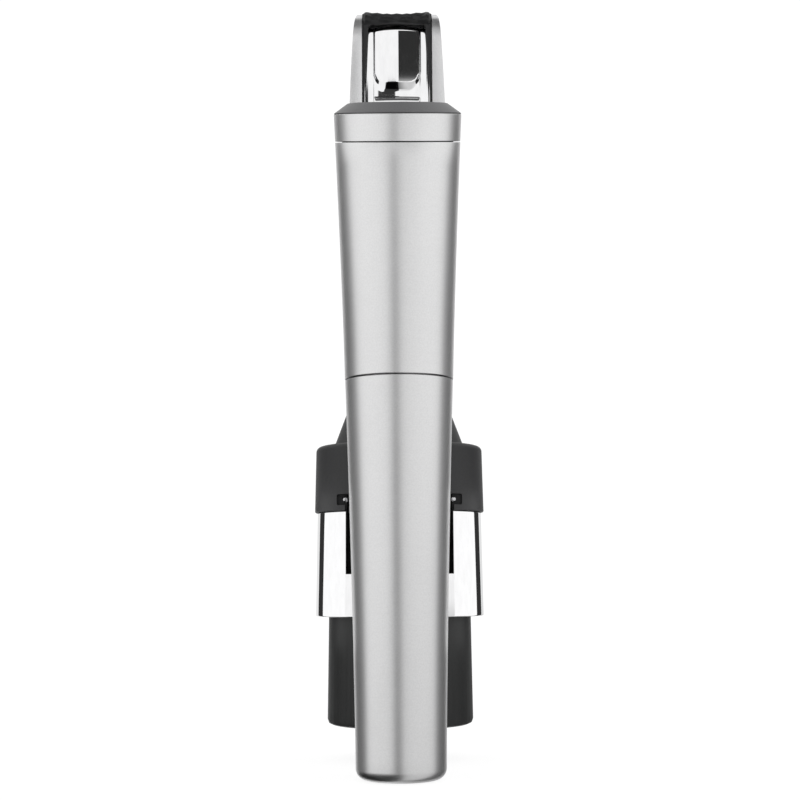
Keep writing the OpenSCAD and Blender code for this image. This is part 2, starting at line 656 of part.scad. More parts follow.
module gas_capsule() {
  color("silver") place() at_handle() rotate_extrude() difference() {
    union() {
      intersection() {
        translate([0, capsule_z + capsule_r]) circle(r = capsule_r, $fn = 96);
        square([20, capsule_z + capsule_r + e]);
      }
      polygon([[0, capsule_z + capsule_r], [capsule_r, capsule_z + capsule_r], [capsule_r, cap_neck_z - 18],
        [capsule_r - 0.9, cap_neck_z - 14.5], [capsule_r - 3, cap_neck_z - 11.4],
        [capsule_neck_r, cap_neck_z - 9.6], [capsule_neck_r, cap_neck_z], [0, cap_neck_z]]);
    }
    square([1.2, cap_neck_z + 10]);
    polygon([[0, capsule_z + 2], [5.6, capsule_z + 4], [capsule_r - 1, capsule_z + capsule_r], [capsule_r - 1, cap_neck_z - 18],
      [2.4, cap_neck_z - 10.5], [0, cap_neck_z - 9]]);
    translate([0, capsule_z - 65]) square([1.3, 64]);
  }
  color("silver") place() at_handle() translate([0, 0, capsule_z + 0.02]) cylinder(r = 1.25, h = 2.2, $fn = 32);
}

// ---------- clamp ----------
module clamp_housing() {
  color("#2b2b2d") place() difference() {
    union() {
      difference() {
        union() {
          rotate_extrude($fn = 128) polygon([[0, housing_z], [housing_r, housing_z],
            [housing_r, housing_top_z - 1.6], [housing_r - 0.5, housing_top_z - 0.5],
            [housing_r - 1.6, housing_top_z], [0, housing_top_z]]);
          translate([0, 0, housing_z - 6.8]) cylinder(r = band_in_r - 0.05, h = 7);
        }
        translate([0, 0, housing_z - 28]) cylinder(r = housing_r - 2.7, h = housing_h + 25);
      }
      translate([0, 0, housing_z]) cylinder(r = 9.6, h = housing_h - 2.2);
      translate([0, 0, housing_top_z - 0.5])
        cylinder(r1 = tower_r + 0.15, r2 = tower_top_r, h = tower_top_z - 4 - housing_top_z + 0.5);
      translate([0, 0, housing_top_z]) cylinder(r = tower_top_r, h = tower_top_z - housing_top_z);
      box(-block_hw, block_hw, -block_back, -6, housing_z, tower_top_z);
      // lugs for the jaw pins
      intersection() {
        both() {
          box(jaw_x - 2.6, jaw_x + 3.2, -15.5, -13.2, jaw_z - 1.9, housing_top_z - 2);
          box(jaw_x - 2.6, jaw_x + 3.2, 13.2, 15.5, jaw_z - 1.9, housing_top_z - 2);
        }
        cylinder(r = housing_r - 2.5, h = 200);
      }
    }
    // rear cut-out, wide at the pins
    both() {
      box(block_hw, jaw_x + 2.5, -40, -15.6, jaw_z - 1.5, jaw_z + 1.5);
      box(block_hw, slot_hw, -40, -15.6, housing_z - 20, jaw_z + 1.5);
      translate([jaw_x, -20, jaw_z]) rotate([-90, 0, 0]) cylinder(r = jaw_pin_r + 0.02, h = 35.5, $fn = 32);
    }
    // needle guide seat and open tower
    translate([0, 0, housing_z + 1.7]) cylinder(r = 5.5, h = 60);
    translate([0, 0, housing_z - 8]) cylinder(r = 2.5, h = 60, $fn = 32);
    translate([0, 0, housing_top_z - 3]) cylinder(r = 7.2, h = 60);
    // rail channel and stop pocket
    box(-rail_hw - 1.4, rail_hw + 1.4, -rail_back - 0.3, -rail_y + 0.3, housing_z - 8, tower_top_z + 20);
    box(-8.3, 8.3, -rail_back - 0.3, -rail_y + 0.8, housing_z - 8, housing_z + 3.1);
    // stop screws
    both() translate([7.55, 0, housing_z - 8]) cylinder(r = 0.82, h = 16.2, $fn = 32);
  }
}

module clamp_band() {
  color("gainsboro") place() difference() {
    rotate_extrude($fn = 128) polygon([[band_in_r, band_z], [band_r - 0.3, band_z], [band_r, band_z + 0.3],
      [band_r, housing_z - 0.3], [band_r - 0.2, housing_z - 0.1], [band_in_r, housing_z - 0.1]]);
    box(-slot_hw, slot_hw, -handle_y, -10, slot_z, housing_z + 20);
    box(-block_hw - 0.3, block_hw + 0.3, -handle_y, -10, band_z - 20, housing_z + 20);
  }
}

module needle_guide() {
  color("white") place() difference() {
    union() {
      translate([0, 0, housing_z + 1.8]) cylinder(r = 5.45, h = housing_h - 4.7);
      translate([0, 0, housing_top_z - 2.95]) cylinder(r = 7.1, h = 2.4);
    }
    translate([0, 0, housing_z - 8]) cylinder(r = needle_r + 0.15, h = 40, $fn = 24);
    translate([0, 0, housing_top_z - 6]) cylinder(r1 = needle_r, r2 = 4.4, h = 5.6, $fn = 32);
  }
}

module glide_strips() {
  color("white") place() both()
    box(rail_hw + 0.2, rail_hw + 1.35, -rail_back - 0.2, -rail_y + 0.2, housing_z + 5.2, tower_top_z - 1);
}

module jaw_pins() {
  color("silver") place() both() translate([jaw_x, -17.2, jaw_z]) rotate([-90, 0, 0])
    cylinder(r = jaw_pin_r, h = 32.6, $fn = 32);
}

module bottle_stop() {
  color("#1c1c1e") place() difference() {
    translate([0, 0, stop_z]) cylinder(r = neck_r - 0.45, h = stop_h - 0.02);
    translate([0, 0, stop_z - 1]) cylinder(r = 3, h = 8, $fn = 48);
    both() translate([7.55, 0, stop_z - 1]) cylinder(r = 0.95, h = 8, $fn = 32);
    both() translate([7.55, 0, stop_z - 1]) cylinder(r = 1.9, h = 2.4, $fn = 32);
  }
}

module bottle_stop_screws() {
  color("silver") place() both() translate([7.55, 0, 0]) {
    translate([0, 0, stop_z + 1]) cylinder(r = 0.8, h = 9, $fn = 32);
    translate([0, 0, stop_z + 0.4]) cylinder(r = 1.8, h = 0.95, $fn = 32);
  }
}

module jaw_springs() {
  color("silver") place() for (s = [-1, 1]) translate([s * jaw_x, 3.4, jaw_z]) rotate([90, 0, 0])
    coil(1.7, 0.3, 5, 6.8);
}

// ---------- jaws ----------
module jaw() {
  color("#1c1c1e") place() difference() {
    union() {
      rotate([0, 0, -55]) rotate_extrude(angle = 110, $fn = 128) polygon([[jaw_in_r, jaw_foot_z],
        [jaw_foot_r - 1.2, jaw_foot_z], [jaw_foot_r - 0.35, jaw_foot_z + 0.4], [jaw_foot_r, jaw_foot_z + 1.4],
        [jaw_r, band_z + 2], [jaw_r, jaw_z - 2.3], [jaw_in_r, jaw_z - 2.3]]);
      intersection() {
        union() {
          translate([jaw_x, -12.9, jaw_z]) rotate([-90, 0, 0]) cylinder(r = 3, h = 25.8, $fn = 48);
          box(jaw_x, jaw_r, -12.9, 12.9, jaw_z - 5.8, jaw_z + 1);
        }
        cylinder(r = jaw_r, h = jaw_z + 20, $fn = 96);
      }
    }
    box(jaw_x - 4.7, jaw_x + 2.6, -4, 4, jaw_z - 11.3, jaw_z + 20);
    translate([jaw_x, -30, jaw_z]) rotate([-90, 0, 0]) cylinder(r = jaw_pin_r + 0.06, h = 60, $fn = 32);
  }
}

module jaw_pad() {
  z = jaw_foot_z + 26.5;
  color("#111111") place() rotate([0, 0, -44]) rotate_extrude(angle = 88, $fn = 128) polygon(concat(
    [[jaw_in_r - 0.05, z - 24], [jaw_in_r - 0.05, z], [neck_r + 1.2, z]],
    [for (i = [0:4]) each [[neck_r, z - 1.5 - i * 4.6], [neck_r, z - 4.6 - i * 4.6],
      [neck_r + 0.6, z - 5.1 - i * 4.6], [neck_r + 0.6, z - 5.6 - i * 4.6]]],
    [[neck_r + 1.2, z - 24]]));
}

module right_jaw() { jaw(); }
module right_jaw_pad() { jaw_pad(); }
module left_jaw() { mirror([1, 0, 0]) jaw(); }
module left_jaw_pad() { mirror([1, 0, 0]) jaw_pad(); }

handle_shell();
collar_ring();
cap_plate();
head_frame();
head_cover();
trigger_pin();
rail();
rail_screws();
rail_stop();
stop_screw();
needle();
needle_hub();
needle_seal();
spout();
spout_nut();
valve_block();
valve_spring();
gas_tube();
regulator_body();
regulator_cap();
regulator_spring();
piercer();
capsule_seal();
cup_thread_ring();
regulator_piston();
piston_seal();
trigger_arms();
trigger_frame();
thumb_pad();
valve_plunger();
plunger_seal();
capsule_cup();
cup_cushion();
gas_capsule();
clamp_housing();
clamp_band();
needle_guide();
glide_strips();
jaw_pins();
bottle_stop();
bottle_stop_screws();
jaw_springs();
left_jaw();
left_jaw_pad();
right_jaw();
right_jaw_pad();
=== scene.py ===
import json
import math
import bpy
import bmesh
from mathutils import Matrix, Vector


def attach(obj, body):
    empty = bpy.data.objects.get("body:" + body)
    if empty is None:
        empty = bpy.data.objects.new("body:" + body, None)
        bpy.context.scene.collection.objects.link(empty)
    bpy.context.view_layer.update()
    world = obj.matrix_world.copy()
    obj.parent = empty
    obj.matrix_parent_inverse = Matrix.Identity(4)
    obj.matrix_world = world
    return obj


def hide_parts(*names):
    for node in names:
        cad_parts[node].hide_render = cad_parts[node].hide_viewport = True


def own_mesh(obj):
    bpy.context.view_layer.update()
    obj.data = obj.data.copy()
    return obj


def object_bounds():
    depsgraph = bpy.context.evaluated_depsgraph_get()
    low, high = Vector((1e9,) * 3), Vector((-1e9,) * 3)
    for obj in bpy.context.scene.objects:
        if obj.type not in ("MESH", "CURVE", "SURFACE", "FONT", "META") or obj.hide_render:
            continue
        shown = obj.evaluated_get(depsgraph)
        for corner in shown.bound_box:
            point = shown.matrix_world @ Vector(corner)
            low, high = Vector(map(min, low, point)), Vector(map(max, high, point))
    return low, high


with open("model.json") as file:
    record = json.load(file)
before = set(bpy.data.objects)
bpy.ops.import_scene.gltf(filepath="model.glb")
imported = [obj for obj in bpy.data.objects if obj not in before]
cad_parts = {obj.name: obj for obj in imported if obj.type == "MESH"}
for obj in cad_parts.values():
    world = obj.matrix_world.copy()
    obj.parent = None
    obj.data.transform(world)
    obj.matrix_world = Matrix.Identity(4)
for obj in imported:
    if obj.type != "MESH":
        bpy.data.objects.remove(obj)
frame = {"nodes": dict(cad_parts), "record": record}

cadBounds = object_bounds()
nodes = frame["nodes"]
record = frame["record"]
mm = 0.001
baseZ = cadBounds[0][2]    # the cup's base, where the floor lies; heights below count from it
slotOf = {entry["node"]: entry["material_slot"] for entry in record["subparts"]}
bodyOf = {node: body for body, members in record["behaviour"]["bodies"].items() for node in members}


# ---- shader maths: a socket that can be added, multiplied and so on
class Wire:
    def __init__(self, tree, socket):
        self.tree = tree
        self.socket = socket

    def node(self, kind, settings=None, inputs=None, output=0):
        made = self.tree.nodes.new(kind)
        for key, value in (settings or {}).items():
            setattr(made, key, value)
        for key, value in (inputs or {}).items():
            if isinstance(value, Wire):
                self.tree.links.new(value.socket, made.inputs[key])
            else:
                made.inputs[key].default_value = value
        return Wire(self.tree, made.outputs[output])

    def maths(self, operation, first, second=0.0):
        return self.node("ShaderNodeMath", {"operation": operation}, {0: first, 1: second})

    def __add__(self, other): return self.maths("ADD", self, other)
    def __radd__(self, other): return self.maths("ADD", other, self)
    def __sub__(self, other): return self.maths("SUBTRACT", self, other)
    def __rsub__(self, other): return self.maths("SUBTRACT", other, self)
    def __mul__(self, other): return self.maths("MULTIPLY", self, other)
    def __rmul__(self, other): return self.maths("MULTIPLY", other, self)
    def __truediv__(self, other): return self.maths("DIVIDE", self, other)
    def __pow__(self, other): return self.maths("POWER", self, other)


def smoothStep(value, low, high):
    return value.node("ShaderNodeMapRange", {"interpolation_type": "SMOOTHSTEP"},
                      {"Value": value, "From Min": low, "From Max": high, "To Min": 0.0, "To Max": 1.0})


def noise(place, stretch, scale, detail=2.0):
    moved = place.node("ShaderNodeMapping", None, {"Vector": place, "Scale": stretch})
    return place.node("ShaderNodeTexNoise", {"noise_dimensions": "3D"},
                      {"Vector": moved, "Scale": scale, "Detail": detail, "Roughness": 0.55})


def mixColours(factor, first, second):
    return factor.node("ShaderNodeMix", {"data_type": "RGBA"}, {0: factor, 6: first, 7: second}, 2)


def newMaterial(name, fixed, build):
    material = bpy.data.materials.new(name)
    material.use_nodes = True
    tree = material.node_tree
    shader = tree.nodes["Principled BSDF"]
    for key, value in fixed.items():
        shader.inputs[key].default_value = value
    coords = tree.nodes.new("ShaderNodeTexCoord")
    place = Wire(tree, coords.outputs["Object"])
    for key, value in build(place).items():
        tree.links.new(value.socket, shader.inputs[key])
    return material


def bump(height, strength, distance):
    return height.node("ShaderNodeBump", None,
                       {"Strength": strength, "Distance": distance, "Height": height})


# ---- finishes; marks are spots to the metre, and a stretch under 1 draws them out that way
marks = {"grain": 2600.0, "lay": 1700.0, "cloud": 42.0, "handling": 120.0, "wave": 38.0, "wiping": 650.0,
         "drift": 60.0, "turnedDrift": 80.0}
markDepth = {"brushed": 0.00001, "polished": 0.0001, "grained": 0.00003, "machined": 0.00002}    # metres
evenly = (1.0, 1.0, 1.0)


def brushed(base, light, rough, lines):
    # satin steel: a very fine even grain, faint lines round the tube, slow cloudy drift
    def build(place):
        grain = noise(place, evenly, marks["grain"], 2.0)
        lay = noise(place, (0.08, 0.08, 1.0), marks["lay"], 2.0)
        cloud = noise(place, (1.0, 1.0, 0.6), marks["cloud"], 3.0)
        handled = smoothStep(noise(place, evenly, marks["handling"], 4.0), 0.52, 0.78)
        tone = smoothStep(grain * 0.6 + lay * 0.12 + cloud * 0.28, 0.30, 0.70)
        return {"Base Color": mixColours(tone, base, light),
                "Roughness": rough + (lay - 0.5) * 0.03 + (cloud - 0.5) * 0.04 + handled * 0.02,
                "Normal": bump(grain * 0.8 + lay * 0.2, lines, markDepth["brushed"])}
    return build


def polished(base, light, rough):
    # mirror plating with the faintest waviness and wiping marks
    def build(place):
        wave = noise(place, evenly, marks["wave"], 1.0)
        wipe = noise(place, (1.0, 1.0, 0.35), marks["wiping"], 3.0)
        return {"Base Color": mixColours(smoothStep(wipe, 0.3, 0.7), base, light),
                "Roughness": rough + smoothStep(wipe, 0.55, 0.8) * 0.03,
                "Normal": bump(wave, 0.03, markDepth["polished"])}
    return build


def grained(base, light, rough, grain, strength):
    # moulded or blasted skin: an even fine grain with slow drift in tone
    def build(place):
        fine = noise(place, evenly, grain, 3.0)
        slow = noise(place, evenly, marks["drift"], 2.0)
        return {"Base Color": mixColours(smoothStep(fine * 0.6 + slow * 0.4, 0.35, 0.65), base, light),
                "Roughness": rough + (slow - 0.5) * 0.12 + (fine - 0.5) * 0.08,
                "Normal": bump(fine, strength, markDepth["grained"])}
    return build


def machined(base, light, rough, rings):
    # turned metal: rings across the part's height
    def build(place):
        ring = noise(place, (0.03, 0.03, 1.0), rings, 2.0)
        slow = noise(place, evenly, marks["turnedDrift"], 2.0)
        return {"Base Color": mixColours(smoothStep(ring * 0.5 + slow * 0.5, 0.35, 0.65), base, light),
                "Roughness": rough + (ring - 0.5) * 0.2,
                "Normal": bump(ring, 0.25, markDepth["machined"])}
    return build


finishes = {
    "brushed_steel": newMaterial("satinSteel", {"Metallic": 1.0},
                                 brushed((0.72, 0.72, 0.722, 1), (0.79, 0.79, 0.792, 1), 0.35, 0.05)),
    "plated": newMaterial("platedMirror", {"Metallic": 1.0},
                          polished((0.83, 0.83, 0.835, 1), (0.87, 0.87, 0.875, 1), 0.025)),
    "satin_silver": newMaterial("satinSilver", {"Metallic": 1.0},
                                grained((0.78, 0.78, 0.785, 1), (0.86, 0.86, 0.865, 1), 0.34, 3500.0, 0.10)),
    "dark_cap": newMaterial("darkSatinCap", {"Metallic": 0.75, "Specular IOR Level": 0.4},
                            grained((0.125, 0.125, 0.128, 1), (0.155, 0.155, 0.158, 1), 0.40, 3200.0, 0.10)),
    "black_plastic": newMaterial("blackMoulded", {"Metallic": 0.0, "Specular IOR Level": 0.32},
                                 grained((0.020, 0.020, 0.021, 1), (0.028, 0.028, 0.029, 1), 0.50, 2600.0, 0.22)),
    "jaw_plastic": newMaterial("blackJaw", {"Metallic": 0.0, "Specular IOR Level": 0.28},
                               grained((0.014, 0.0145, 0.0145, 1), (0.020, 0.0205, 0.0205, 1), 0.46, 2600.0, 0.15)),
    "grip_rubber": newMaterial("gripRubber", {"Metallic": 0.0, "Specular IOR Level": 0.42},
                               grained((0.010, 0.010, 0.0105, 1), (0.015, 0.015, 0.0155, 1), 0.40, 2000.0, 0.12)),
    "seal_rubber": newMaterial("sealRubber", {"Metallic": 0.0, "Specular IOR Level": 0.35},
                               grained((0.018, 0.018, 0.018, 1), (0.026, 0.026, 0.026, 1), 0.4, 1800.0, 0.15)),
    "white_plastic": newMaterial("whiteGuide", {"Metallic": 0.0},
                                 grained((0.74, 0.74, 0.72, 1), (0.80, 0.80, 0.78, 1), 0.38, 1500.0, 0.1)),
    "plain_steel": newMaterial("groundSteel", {"Metallic": 1.0},
                               machined((0.55, 0.55, 0.56, 1), (0.66, 0.66, 0.67, 1), 0.25, 2500.0)),
    "capsule_steel": newMaterial("zincCapsule", {"Metallic": 1.0},
                                 grained((0.46, 0.47, 0.49, 1), (0.56, 0.57, 0.59, 1), 0.3, 900.0, 0.12)),
    "anodised": newMaterial("anodisedRail", {"Metallic": 1.0},
                            brushed((0.40, 0.40, 0.41, 1), (0.48, 0.48, 0.49, 1), 0.34, 0.15)),
    "brass": newMaterial("turnedBrass", {"Metallic": 1.0},
                         machined((0.68, 0.49, 0.22, 1), (0.80, 0.61, 0.32, 1), 0.28, 2200.0)),
}
for name, part in nodes.items():
    part.data.materials.clear()
    part.data.materials.append(finishes[slotOf[name]])
print("finishes:", len(finishes))


# ---- modelling helpers; sizes are in mm, heights over the cup's base
weld = {"fine": 0.000002, "cover": 0.000004, "usual": 0.00001, "afterCuts": 0.00002}    # metres that merge points


def at(x, y, height):
    return Vector((x * mm, y * mm, height * mm + baseZ))


def nothingSelected():
    if bpy.context.object and bpy.context.object.mode != "OBJECT":
        bpy.ops.object.mode_set(mode="OBJECT")
    bpy.ops.object.select_all(action="DESELECT")


def onlySelected(piece):
    nothingSelected()
    piece.select_set(True)
    bpy.context.view_layer.objects.active = piece


def editAll(piece, mode="VERT"):
    onlySelected(piece)
    bpy.ops.object.mode_set(mode="EDIT")
    bpy.ops.mesh.select_mode(type=mode)
    bpy.ops.mesh.select_all(action="SELECT")


def pickEdges(piece, wanted):
    # edges whose two ends pass the test, in mm
    editAll(piece, "EDGE")
    bpy.ops.mesh.select_all(action="DESELECT")
    shape = bmesh.from_edit_mesh(piece.data)
    for edge in shape.edges:
        ends = [(v.co.x / mm, v.co.y / mm, (v.co.z - baseZ) / mm) for v in edge.verts]
        edge.select_set(wanted(*ends))
    bmesh.update_edit_mesh(piece.data)


def bevelPicked(width, segments=4):
    bpy.ops.mesh.bevel(offset=width * mm, offset_type="OFFSET", segments=segments, profile=0.5,
                       affect="EDGES")
    bpy.ops.object.mode_set(mode="OBJECT")


def cleanNormals(piece, reach=weld["usual"]):
    editAll(piece)
    bpy.ops.mesh.remove_doubles(threshold=reach)
    bpy.ops.mesh.select_all(action="SELECT")
    bpy.ops.mesh.normals_make_consistent(inside=False)
    bpy.ops.object.mode_set(mode="OBJECT")


def applyChange(piece, kind, **settings):
    onlySelected(piece)
    change = piece.modifiers.new(kind.lower(), kind)
    for key, value in settings.items():
        setattr(change, key, value)
    bpy.ops.object.modifier_apply(modifier=change.name)


def soften(piece, width, segments=3, angle=30.0):
    applyChange(piece, "BEVEL", width=width * mm, segments=segments, limit_method="ANGLE",
                angle_limit=math.radians(angle), use_clamp_overlap=True, miter_outer="MITER_ARC")


def cut(piece, cutter, operation="DIFFERENCE"):
    applyChange(piece, "BOOLEAN", object=cutter, operation=operation, solver="EXACT")
    bpy.data.objects.remove(cutter)


def block(name, low, high):
    nothingSelected()
    first, second = at(*low), at(*high)
    bpy.ops.mesh.primitive_cube_add(size=1.0, location=(first + second) / 2, scale=second - first)
    piece = bpy.context.object
    piece.name = name
    bpy.ops.object.transform_apply(location=True, rotation=True, scale=True)
    return piece


def rod(name, radius, length, place, turnBy=(0.0, 0.0, 0.0), sides=64):
    nothingSelected()
    bpy.ops.mesh.primitive_cylinder_add(vertices=sides, radius=radius * mm, depth=length * mm,
                                        location=at(*place), rotation=[math.radians(v) for v in turnBy])
    piece = bpy.context.object
    piece.name = name
    bpy.ops.object.transform_apply(location=True, rotation=True, scale=True)
    return piece


def outline(name, corners):
    # a flat ring with its corners moved to the outline's points
    nothingSelected()
    bpy.ops.mesh.primitive_circle_add(vertices=len(corners), radius=1.0, fill_type="NGON")
    piece = bpy.context.object
    piece.name = name
    for vertex, corner in zip(piece.data.vertices, corners):
        vertex.co = at(*corner)
    return piece


def turned(name, profile, axisY=0.0, steps=160):
    # profile of (radius, height) points spun once round an upright axis
    piece = outline(name, [(r, axisY, h) for r, h in profile])
    editAll(piece)
    bpy.ops.mesh.delete(type="ONLY_FACE")
    bpy.ops.mesh.select_all(action="SELECT")
    bpy.ops.mesh.spin(steps=steps, angle=math.radians(360.0), center=at(0.0, axisY, 0.0), axis=(0, 0, 1))
    bpy.ops.mesh.select_all(action="SELECT")
    bpy.ops.mesh.remove_doubles(threshold=weld["fine"])
    bpy.ops.mesh.delete_loose()
    cleanNormals(piece)
    return piece


def arc(centreR, centreH, radius, fromAngle, toAngle, count=6):
    turns = [math.radians(fromAngle + (toAngle - fromAngle) * i / count) for i in range(count + 1)]
    return [(centreR + radius * math.cos(a), centreH + radius * math.sin(a)) for a in turns]


def sliceOff(piece, place, normal):
    # everything on the normal's side goes, and the cut is closed
    editAll(piece)
    bpy.ops.mesh.bisect(plane_co=at(*place), plane_no=normal, use_fill=True, clear_outer=True,
                        threshold=0.5 * weld["fine"])
    bpy.ops.object.mode_set(mode="OBJECT")


def copyOfNode(name, nodeName):
    # a node's solid as a mesh with whole faces
    piece = nodes[nodeName].copy()
    piece.data = nodes[nodeName].data.copy()
    piece.name = name
    for key in list(piece.keys()):
        del piece[key]
    piece.parent = None
    bpy.context.scene.collection.objects.link(piece)
    editAll(piece)
    bpy.ops.mesh.remove_doubles(threshold=weld["fine"])
    bpy.ops.mesh.select_all(action="SELECT")
    bpy.ops.mesh.dissolve_limited(angle_limit=math.radians(0.6))
    bpy.ops.object.mode_set(mode="OBJECT")
    return piece


def finishPiece(piece, *replaced, smooth=32.0):
    onlySelected(piece)
    bpy.ops.object.transform_apply(location=True, rotation=True, scale=True)
    bpy.ops.object.shade_smooth_by_angle(angle=math.radians(smooth))
    if not piece.data.materials:
        piece.data.materials.append(finishes[slotOf[replaced[0]]])
    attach(piece, bodyOf[replaced[0]])
    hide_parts(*replaced)


# ---- handle: a tapering tube, its collar and the dark cap, cut on a lean
handle = {"axisY": -45.0, "seam": 100.7, "seamRadius": 13.97, "topRadius": 16.8, "topHeight": 171.1,
          "taperFrom": 100.4, "taper": 1.2, "ringed": 54.0, "end": 176.0, "collarSeam": 163.7,
          "seamGap": 0.12, "lean": 16.0, "wall": 1.4, "wallHeights": (148.0, 125.0),
          "bore": 14.7, "boreFoot": 151.0, "edge": 0.12}
leanNormal = (0.0, -math.sin(math.radians(handle["lean"])), math.cos(math.radians(handle["lean"])))


def tubeRadius(height):
    share = max(height - handle["taperFrom"], 0.0) / (handle["topHeight"] - handle["taperFrom"])
    return handle["seamRadius"] + (handle["topRadius"] - handle["seamRadius"]) * share ** handle["taper"]


def breakRim(piece, planeHeight, width=handle["edge"]):
    # the outer edges that lie in the leaning cut, softened
    def onRim(x, y, height):
        off = (y - handle["axisY"]) * leanNormal[1] + (height - planeHeight) * leanNormal[2]
        return abs(off) < 0.01 and math.hypot(x, y - handle["axisY"]) > handle["bore"] + 0.3
    pickEdges(piece, lambda first, second: onRim(*first) and onRim(*second))
    bevelPicked(width, 3)


def makeHandle():
    low, end, edge = handle["seam"], handle["end"], handle["edge"]
    top = handle["collarSeam"] - handle["seamGap"]
    heights = [low + edge] + [low + handle["ringed"] * i / 24 for i in range(1, 25)]
    profile = [(tubeRadius(low) - handle["wall"], low), (tubeRadius(low) - edge, low)]
    profile += [(tubeRadius(h), h) for h in heights]
    profile += [(tubeRadius(end), end), (handle["bore"], end), (handle["bore"], handle["boreFoot"])]
    profile += [(tubeRadius(h) - handle["wall"], h) for h in handle["wallHeights"]]
    shell = turned("handleTube", profile, handle["axisY"])
    sliceOff(shell, (0.0, handle["axisY"], top), leanNormal)
    breakRim(shell, top)
    finishPiece(shell, "handle_shell")


collar = {"past": 5.2, "flare": 0.0475, "topEdge": 0.16, "slotHalf": 7.95, "slotFoot": 168.7,
          "slotTop": 190.0}


def makeCollar():
    # turned longer than it is, then cut on the lean at both ends
    low, high = handle["collarSeam"] + handle["seamGap"], handle["topHeight"]
    foot, top = low - collar["past"], high + collar["past"]
    profile = [(handle["bore"], foot), (tubeRadius(foot), foot), (tubeRadius(high), high),
               (tubeRadius(high) + collar["flare"] * collar["past"], top), (handle["bore"], top)]
    sleeve = turned("collarSleeve", profile, handle["axisY"])
    sliceOff(sleeve, (0.0, handle["axisY"], high), leanNormal)
    sliceOff(sleeve, (0.0, handle["axisY"], low), [-v for v in leanNormal])
    breakRim(sleeve, low)
    breakRim(sleeve, high, collar["topEdge"])
    cut(sleeve, block("beamSlot", (-collar["slotHalf"], handle["axisY"], collar["slotFoot"]),
                      (collar["slotHalf"], 0.0, collar["slotTop"])))
    finishPiece(sleeve, "collar_ring", smooth=10.0)    # the side stays clear of the rims' shading


cap = {"radius": 16.72, "length": 17.2, "thick": 2.9, "runIn": 3.55, "lip": 0.25, "topRound": 1.3,
       "crown": 0.55, "gap": 0.05, "recess": 4.0, "recessDeep": 1.15, "footIn": 0.12, "footUp": 0.1}
turnSign = -1.0    # with no window the rotate operator turns the other way


def makeCap():
    # made flat round the handle's axis, then leant over on the collar
    low = handle["topHeight"] + cap["gap"]
    top = low + cap["thick"]
    slope = math.degrees(math.atan2(cap["thick"] - cap["lip"], cap["runIn"]))
    rounding = arc(cap["radius"] - cap["runIn"] - cap["crown"], top - cap["topRound"], cap["topRound"],
                   90.0 - slope, 90.0, 6)
    under = [(0.0, low + cap["recessDeep"]), (cap["recess"], low + cap["recessDeep"]), (cap["recess"], low)]
    foot = [(cap["radius"] - cap["footIn"], low), (cap["radius"], low + cap["footUp"]),
            (cap["radius"], low + cap["lip"])]
    piece = turned("darkCap", under + foot + rounding + [(0.0, top)], handle["axisY"])
    editAll(piece)
    pivot = at(0.0, handle["axisY"], low)
    bpy.ops.transform.resize(value=(1.0, cap["length"] / cap["radius"], 1.0), center_override=pivot)
    bpy.ops.transform.rotate(value=math.radians(handle["lean"]) * turnSign, orient_axis="X",
                             center_override=pivot)
    bpy.ops.object.mode_set(mode="OBJECT")
    finishPiece(piece, "cap_plate")


# ---- cup: the tube's lower part, with a rolled bottom edge
cup = {"axisY": -45.0, "height": 100.4, "foot": 11.4, "top": 13.88, "taper": 1.35, "round": 2.8,
       "edge": 0.12, "mouth": 12.35, "mouthFoot": 88.2, "bore": 12.3, "boreWall": 1.3,
       "boreHeights": (87.2, 60.0, 30.0, 4.0), "floor": 1.8, "floorRadius": 8.6}
baseLine = [(0.0, 0.0), (5.6, 0.0), (5.75, 0.12), (6.15, 0.12), (6.3, 0.0)]    # a turned line under the base


def cupRadius(height):
    return cup["foot"] + (cup["top"] - cup["foot"]) * (max(height, 0.0) / cup["height"]) ** cup["taper"]


def makeCup():
    corner = arc(cupRadius(cup["round"]) - cup["round"], cup["round"], cup["round"], -90.0, 0.0, 12)
    rise = cup["height"] - cup["edge"] - cup["round"]
    side = [(cupRadius(h), h) for h in [cup["round"] + rise * i / 36 for i in range(1, 37)]]
    lip = [(cup["top"] - cup["edge"], cup["height"]), (cup["mouth"], cup["height"]),
           (cup["mouth"], cup["mouthFoot"])]
    inner = [(min(cup["bore"], cupRadius(h) - cup["boreWall"]), h) for h in cup["boreHeights"]]
    inner += [(cup["floorRadius"], cup["floor"]), (0.0, cup["floor"])]
    piece = turned("capsuleCup", baseLine + corner + side + lip + inner, cup["axisY"])
    finishPiece(piece, "capsule_cup")


# ---- head cover: a plated shell, its back bowed between flat sides, with a raised tongue that ends in a chin
cover = {"half": 9.2, "back": -27.35, "foot": 169.4, "top": 201.35, "bow": 46.0, "bowHalf": 6.45,
         "corner": 0.6, "topRound": 0.4, "slopeFrom": -13.0, "slope": 0.93, "slopeSoft": 4.0, "wall": 1.2,
         "tongueHalf": 6.3, "tongueProud": 0.88, "tongueBow": 22.0, "topFade": 0.3, "chin": 185.5,
         "chinCorner": 3.3, "crisp": 0.14, "sideBlend": 0.3, "chinBlend": 2.9,
         "lineHeight": 181.45, "lineHalf": 6.4, "lineEnd": 0.6, "lineDeep": 0.2, "lineWide": 0.26}
coverHoles = (("plungerHole", 2.28, 20.0, (0.0, -18.0, 200.0), (0.0, 0.0, 0.0)),
              ("pinHole", 1.53, 40.0, (0.0, -2.0, 180.0), (0.0, 90.0, 0.0)),
              ("spoutHole", 3.1, 10.0, (0.0, 9.0, 173.5), (90.0, 0.0, 0.0)))


def coverTop(y):
    t = max(y - cover["slopeFrom"], 0.0)
    return cover["top"] - cover["slope"] * (math.sqrt(t * t + cover["slopeSoft"] ** 2) - cover["slopeSoft"])


